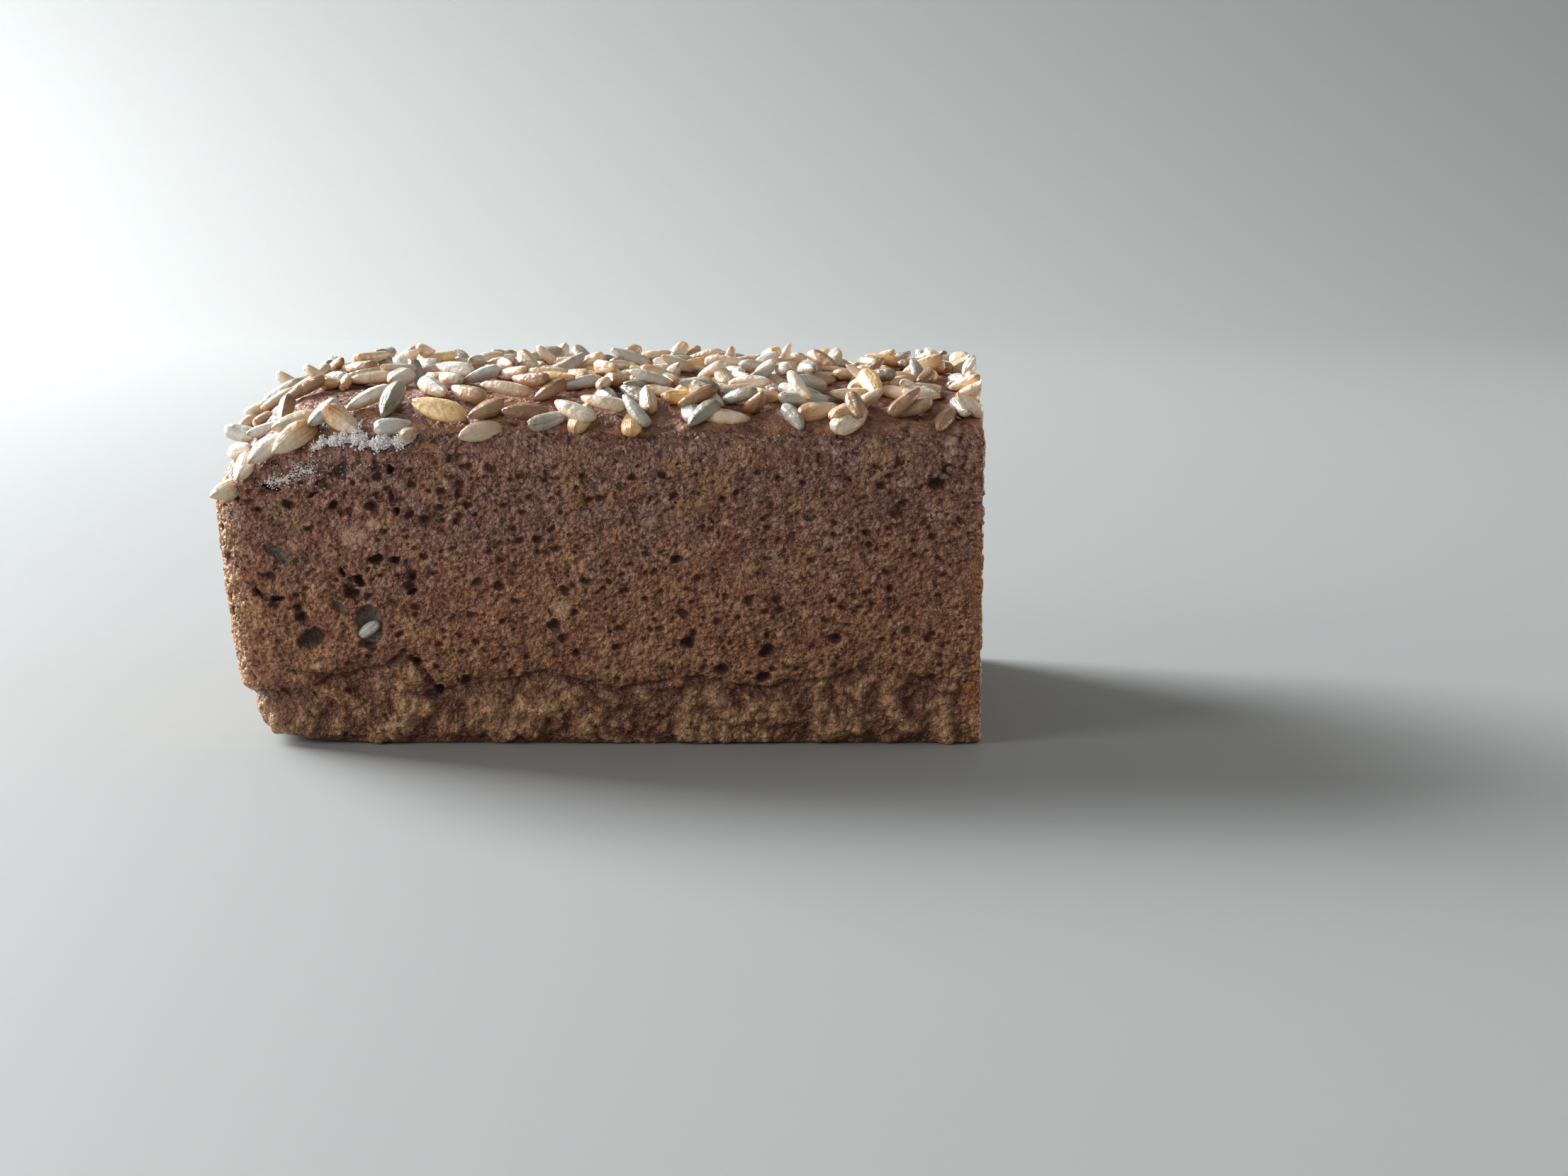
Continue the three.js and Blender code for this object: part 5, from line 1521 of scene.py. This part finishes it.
def kernel_finish(name, pale, deep, warm, baked, roughness, coat):
    """A kernel's finish: its own tone between two colours, then through a warm one to a baked one at one end,
    at the tip and along its thin edges, a little mottled, and finely ribbed."""
    look = Finish(name)
    tone, side, along = (look.attribute(key) for key in ("tone", "side", "place"))
    from_middle = look.maths("ABSOLUTE", side)
    own = look.blend(tone, pale, deep)
    look.base = look.mottled(360.0, own, look.blend(0.35, own, baked), own, 0.7)
    # How far it is baked: by its own toast towards the blunt end, at the tip, and at the thin edges
    amount = look.times(look.attribute("toast"), look.ramp(along, 0.3, 1.0, 0.2, 1.0), True)
    amount = look.maths("MAXIMUM", amount, look.ramp(along, 0.16, 0.02, 0.0, 0.65))
    amount = look.maths("MAXIMUM", amount, look.ramp(from_middle, 0.72, 1.0, 0.0, 0.4))
    # Ribs along it: a noise across, moved by the tone so that no two kernels have the same
    strips = look.plus(look.times(side, 3.2), look.times(tone, 90.0))
    inputs = {"W": strips, "Scale": 1.6, "Detail": 2.0}
    ribs = look.put("ShaderNodeTexNoise", inputs, noise_dimensions="1D").outputs["Fac"]
    amount = look.plus(amount, look.ramp(ribs, 0.56, 0.78, 0.0, 0.25), True)
    look.paint(look.ramp(amount, 0.0, 0.65), warm)
    look.paint(look.ramp(amount, 0.55, 1.0), baked)
    look.shine(roughness, 0.5, coat)
    crest = look.ramp(from_middle, 0.0, 0.5, 1.0, 0.0)
    coarse, fine = look.noise(380.0, 2.0), look.noise(1300.0, 3.0)
    return look.done((crest, 0.6, 0.0005), (coarse, 0.75, 0.0012), (ribs, 0.3, 0.0004), (fine, 0.35, 0.0003))


def pale_crumb_finish():
    """Pale dry crumb: white to cream grains."""
    look = Finish("pale_crumb_finish")
    look.base = look.blend(look.attribute("tone"), colour(0.97, 0.97, 0.96), colour(0.86, 0.74, 0.66))
    look.shine(0.7, 0.3)
    return look.done()


# ---- the loaf, put together ----


def dress(piece, look):
    """Gives a piece its material, and lets it ride on the loaf's body."""
    piece.data.materials.clear()
    piece.data.materials.append(look.material)
    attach(piece, "root")


near_crust = pan_piece("near_crust", (0, 1), NEAR_COLUMNS, NEAR_ROWS)
far_crust = pan_piece("far_crust", (2, 3, 4), FAR_COLUMNS, FAR_ROWS)
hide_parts("loaf")
pan_finish = pan_crust_finish()
for part_of_pan in (near_crust, far_crust, pan_base()):
    dress(part_of_pan, pan_finish)
dress(top_crust(), top_crust_finish())
dress(crumb(), crumb_finish())
dress(pale_crumbs(), pale_crumb_finish())

# Kernel finishes in the order of the kinds: pale, deep, warm and baked colour, roughness and coat
AMBER, UMBER = colour(0.4, 0.17, 0.055), colour(0.12, 0.055, 0.032)
KERNEL_FINISHES = (
    (colour(0.86, 0.82, 0.73), colour(0.73, 0.62, 0.47), colour(0.76, 0.47, 0.24), AMBER, 0.34, 0.2),
    (colour(0.78, 0.76, 0.69), colour(0.2, 0.16, 0.11), colour(0.42, 0.34, 0.24), UMBER, 0.32, 0.3),
    (colour(0.62, 0.41, 0.24), colour(0.33, 0.18, 0.1), colour(0.34, 0.17, 0.08), UMBER, 0.34, 0.2),
    (colour(0.98, 0.75, 0.42), colour(0.9, 0.6, 0.28), colour(0.84, 0.47, 0.18), AMBER, 0.32, 0.2),
)
for kind_of_kernel, tones_and_shine in zip(top_kernel_pieces(), KERNEL_FINISHES):
    dry = kernel_finish(kind_of_kernel.name + "_finish", *tones_and_shine)
    dry.glow(0.12, (1.0, 0.6, 0.3), 0.0015)
    dress(kind_of_kernel, dry)
MOIST_WARM, MOIST_BAKED = colour(0.46, 0.33, 0.17), colour(0.34, 0.2, 0.08)
MOIST = (colour(0.62, 0.57, 0.44), colour(0.38, 0.33, 0.24), MOIST_WARM, MOIST_BAKED, 0.25, 0.3)
moist = kernel_finish("moist_kernel_finish", *MOIST)
moist.glow(0.25, (1.0, 0.85, 0.5), 0.002)
dress(crumb_kernels(), moist)


# ---- floor, light and camera ----


def plain_finish(name, shade, roughness):
    """A plain material."""
    look = Finish(name)
    look.shader.inputs["Base Color"].default_value = shade
    look.shader.inputs["Roughness"].default_value = roughness
    return look.material


def sweep_floor():
    """A pale floor that curves up into a wall behind: a profile in Y and Z carried along X."""
    front, bend, radius, top = -1200.0, 1300.0, 500.0, 1600.0
    angles = np.linspace(0, np.pi / 2, 32)
    y = np.concatenate([[front], bend + radius * np.sin(angles), [bend + radius]])
    z = np.concatenate([[0.0], radius * (1 - np.cos(angles)), [top]])
    x = np.array([-2600.0, 2600.0])
    points = np.stack(np.broadcast_arrays(x[None, :], y[:, None], z[:, None]), axis=2)
    mesh = bpy.data.meshes.new("floor")
    mesh.from_pydata((points.reshape(-1, 3) * MM).tolist(), [], grid_faces(len(y), 2).tolist())
    mesh.polygons.foreach_set("use_smooth", np.full(len(mesh.polygons), True))
    floor = bpy.data.objects.new("floor", mesh)
    bpy.context.scene.collection.objects.link(floor)
    mesh.materials.append(plain_finish("floor_finish", colour(0.31, 0.31, 0.3), 0.7))


def area_light(name, place, target, size, power, tint):
    """A rectangular soft light at a place, aimed at a target, all in metres."""
    light = bpy.data.lights.new(name, "AREA")
    light.shape = "RECTANGLE"
    light.size, light.size_y = size
    light.energy = power
    light.color = tint
    lamp = bpy.data.objects.new(name, light)
    bpy.context.scene.collection.objects.link(lamp)
    east, north, up = np.array(target) - np.array(place)
    lamp.location = place
    lamp.rotation_euler = (math.atan2(math.hypot(east, north), -up), 0, math.atan2(north, east) - math.pi / 2)
    return lamp


def studio_light():
    """A large cool window behind and to the left, a weak fill from the front left, a weak warm bounce from
    the right and an even dim world."""
    area_light("bounce", (1.3, 0.2, 0.12), (0.05, 0.0, 0.03), (0.9, 0.22), 8.5, (1.0, 0.95, 0.92))
    area_light("window", (-1.7, 1.44, 1.07), (0.0, 0.0, 0.05), (1.8, 1.2), 240.0, (0.93, 0.97, 1.0))
    area_light("fill", (-1.0, -0.6, 0.4), (0.0, 0.0, 0.03), (0.5, 0.7), 6.5, (1.0, 0.97, 0.95))
    world = bpy.data.worlds.new("studio")
    bpy.context.scene.world = world
    world.use_nodes = True
    background = world.node_tree.nodes["Background"]
    background.inputs["Color"].default_value = colour(0.84, 0.9, 0.92)
    background.inputs["Strength"].default_value = 0.32


CAMERA_FOCAL_PIXELS = 3650.0  # focal length in pixels of a picture 2212 wide
PICTURE_WIDTH = 2212.0
SENSOR = 36.0
CAMERA_PLACE = (36.8, -554.3, 110.1)
CAMERA_PITCH = 8.83  # degrees below the horizon


def set_camera():
    """A camera in front of the near side, looking along +Y and a little down."""
    camera = bpy.data.cameras.new("camera")
    camera.sensor_width = SENSOR
    camera.lens = CAMERA_FOCAL_PIXELS / PICTURE_WIDTH * SENSOR
    camera.clip_start = 0.01
    holder = bpy.data.objects.new("camera", camera)
    bpy.context.scene.collection.objects.link(holder)
    holder.location = [value * MM for value in CAMERA_PLACE]
    holder.rotation_euler = (math.radians(90 - CAMERA_PITCH), 0, 0)
    bpy.context.scene.camera = holder


sweep_floor()
studio_light()
set_camera()
bpy.context.scene.view_settings.view_transform = "Standard"
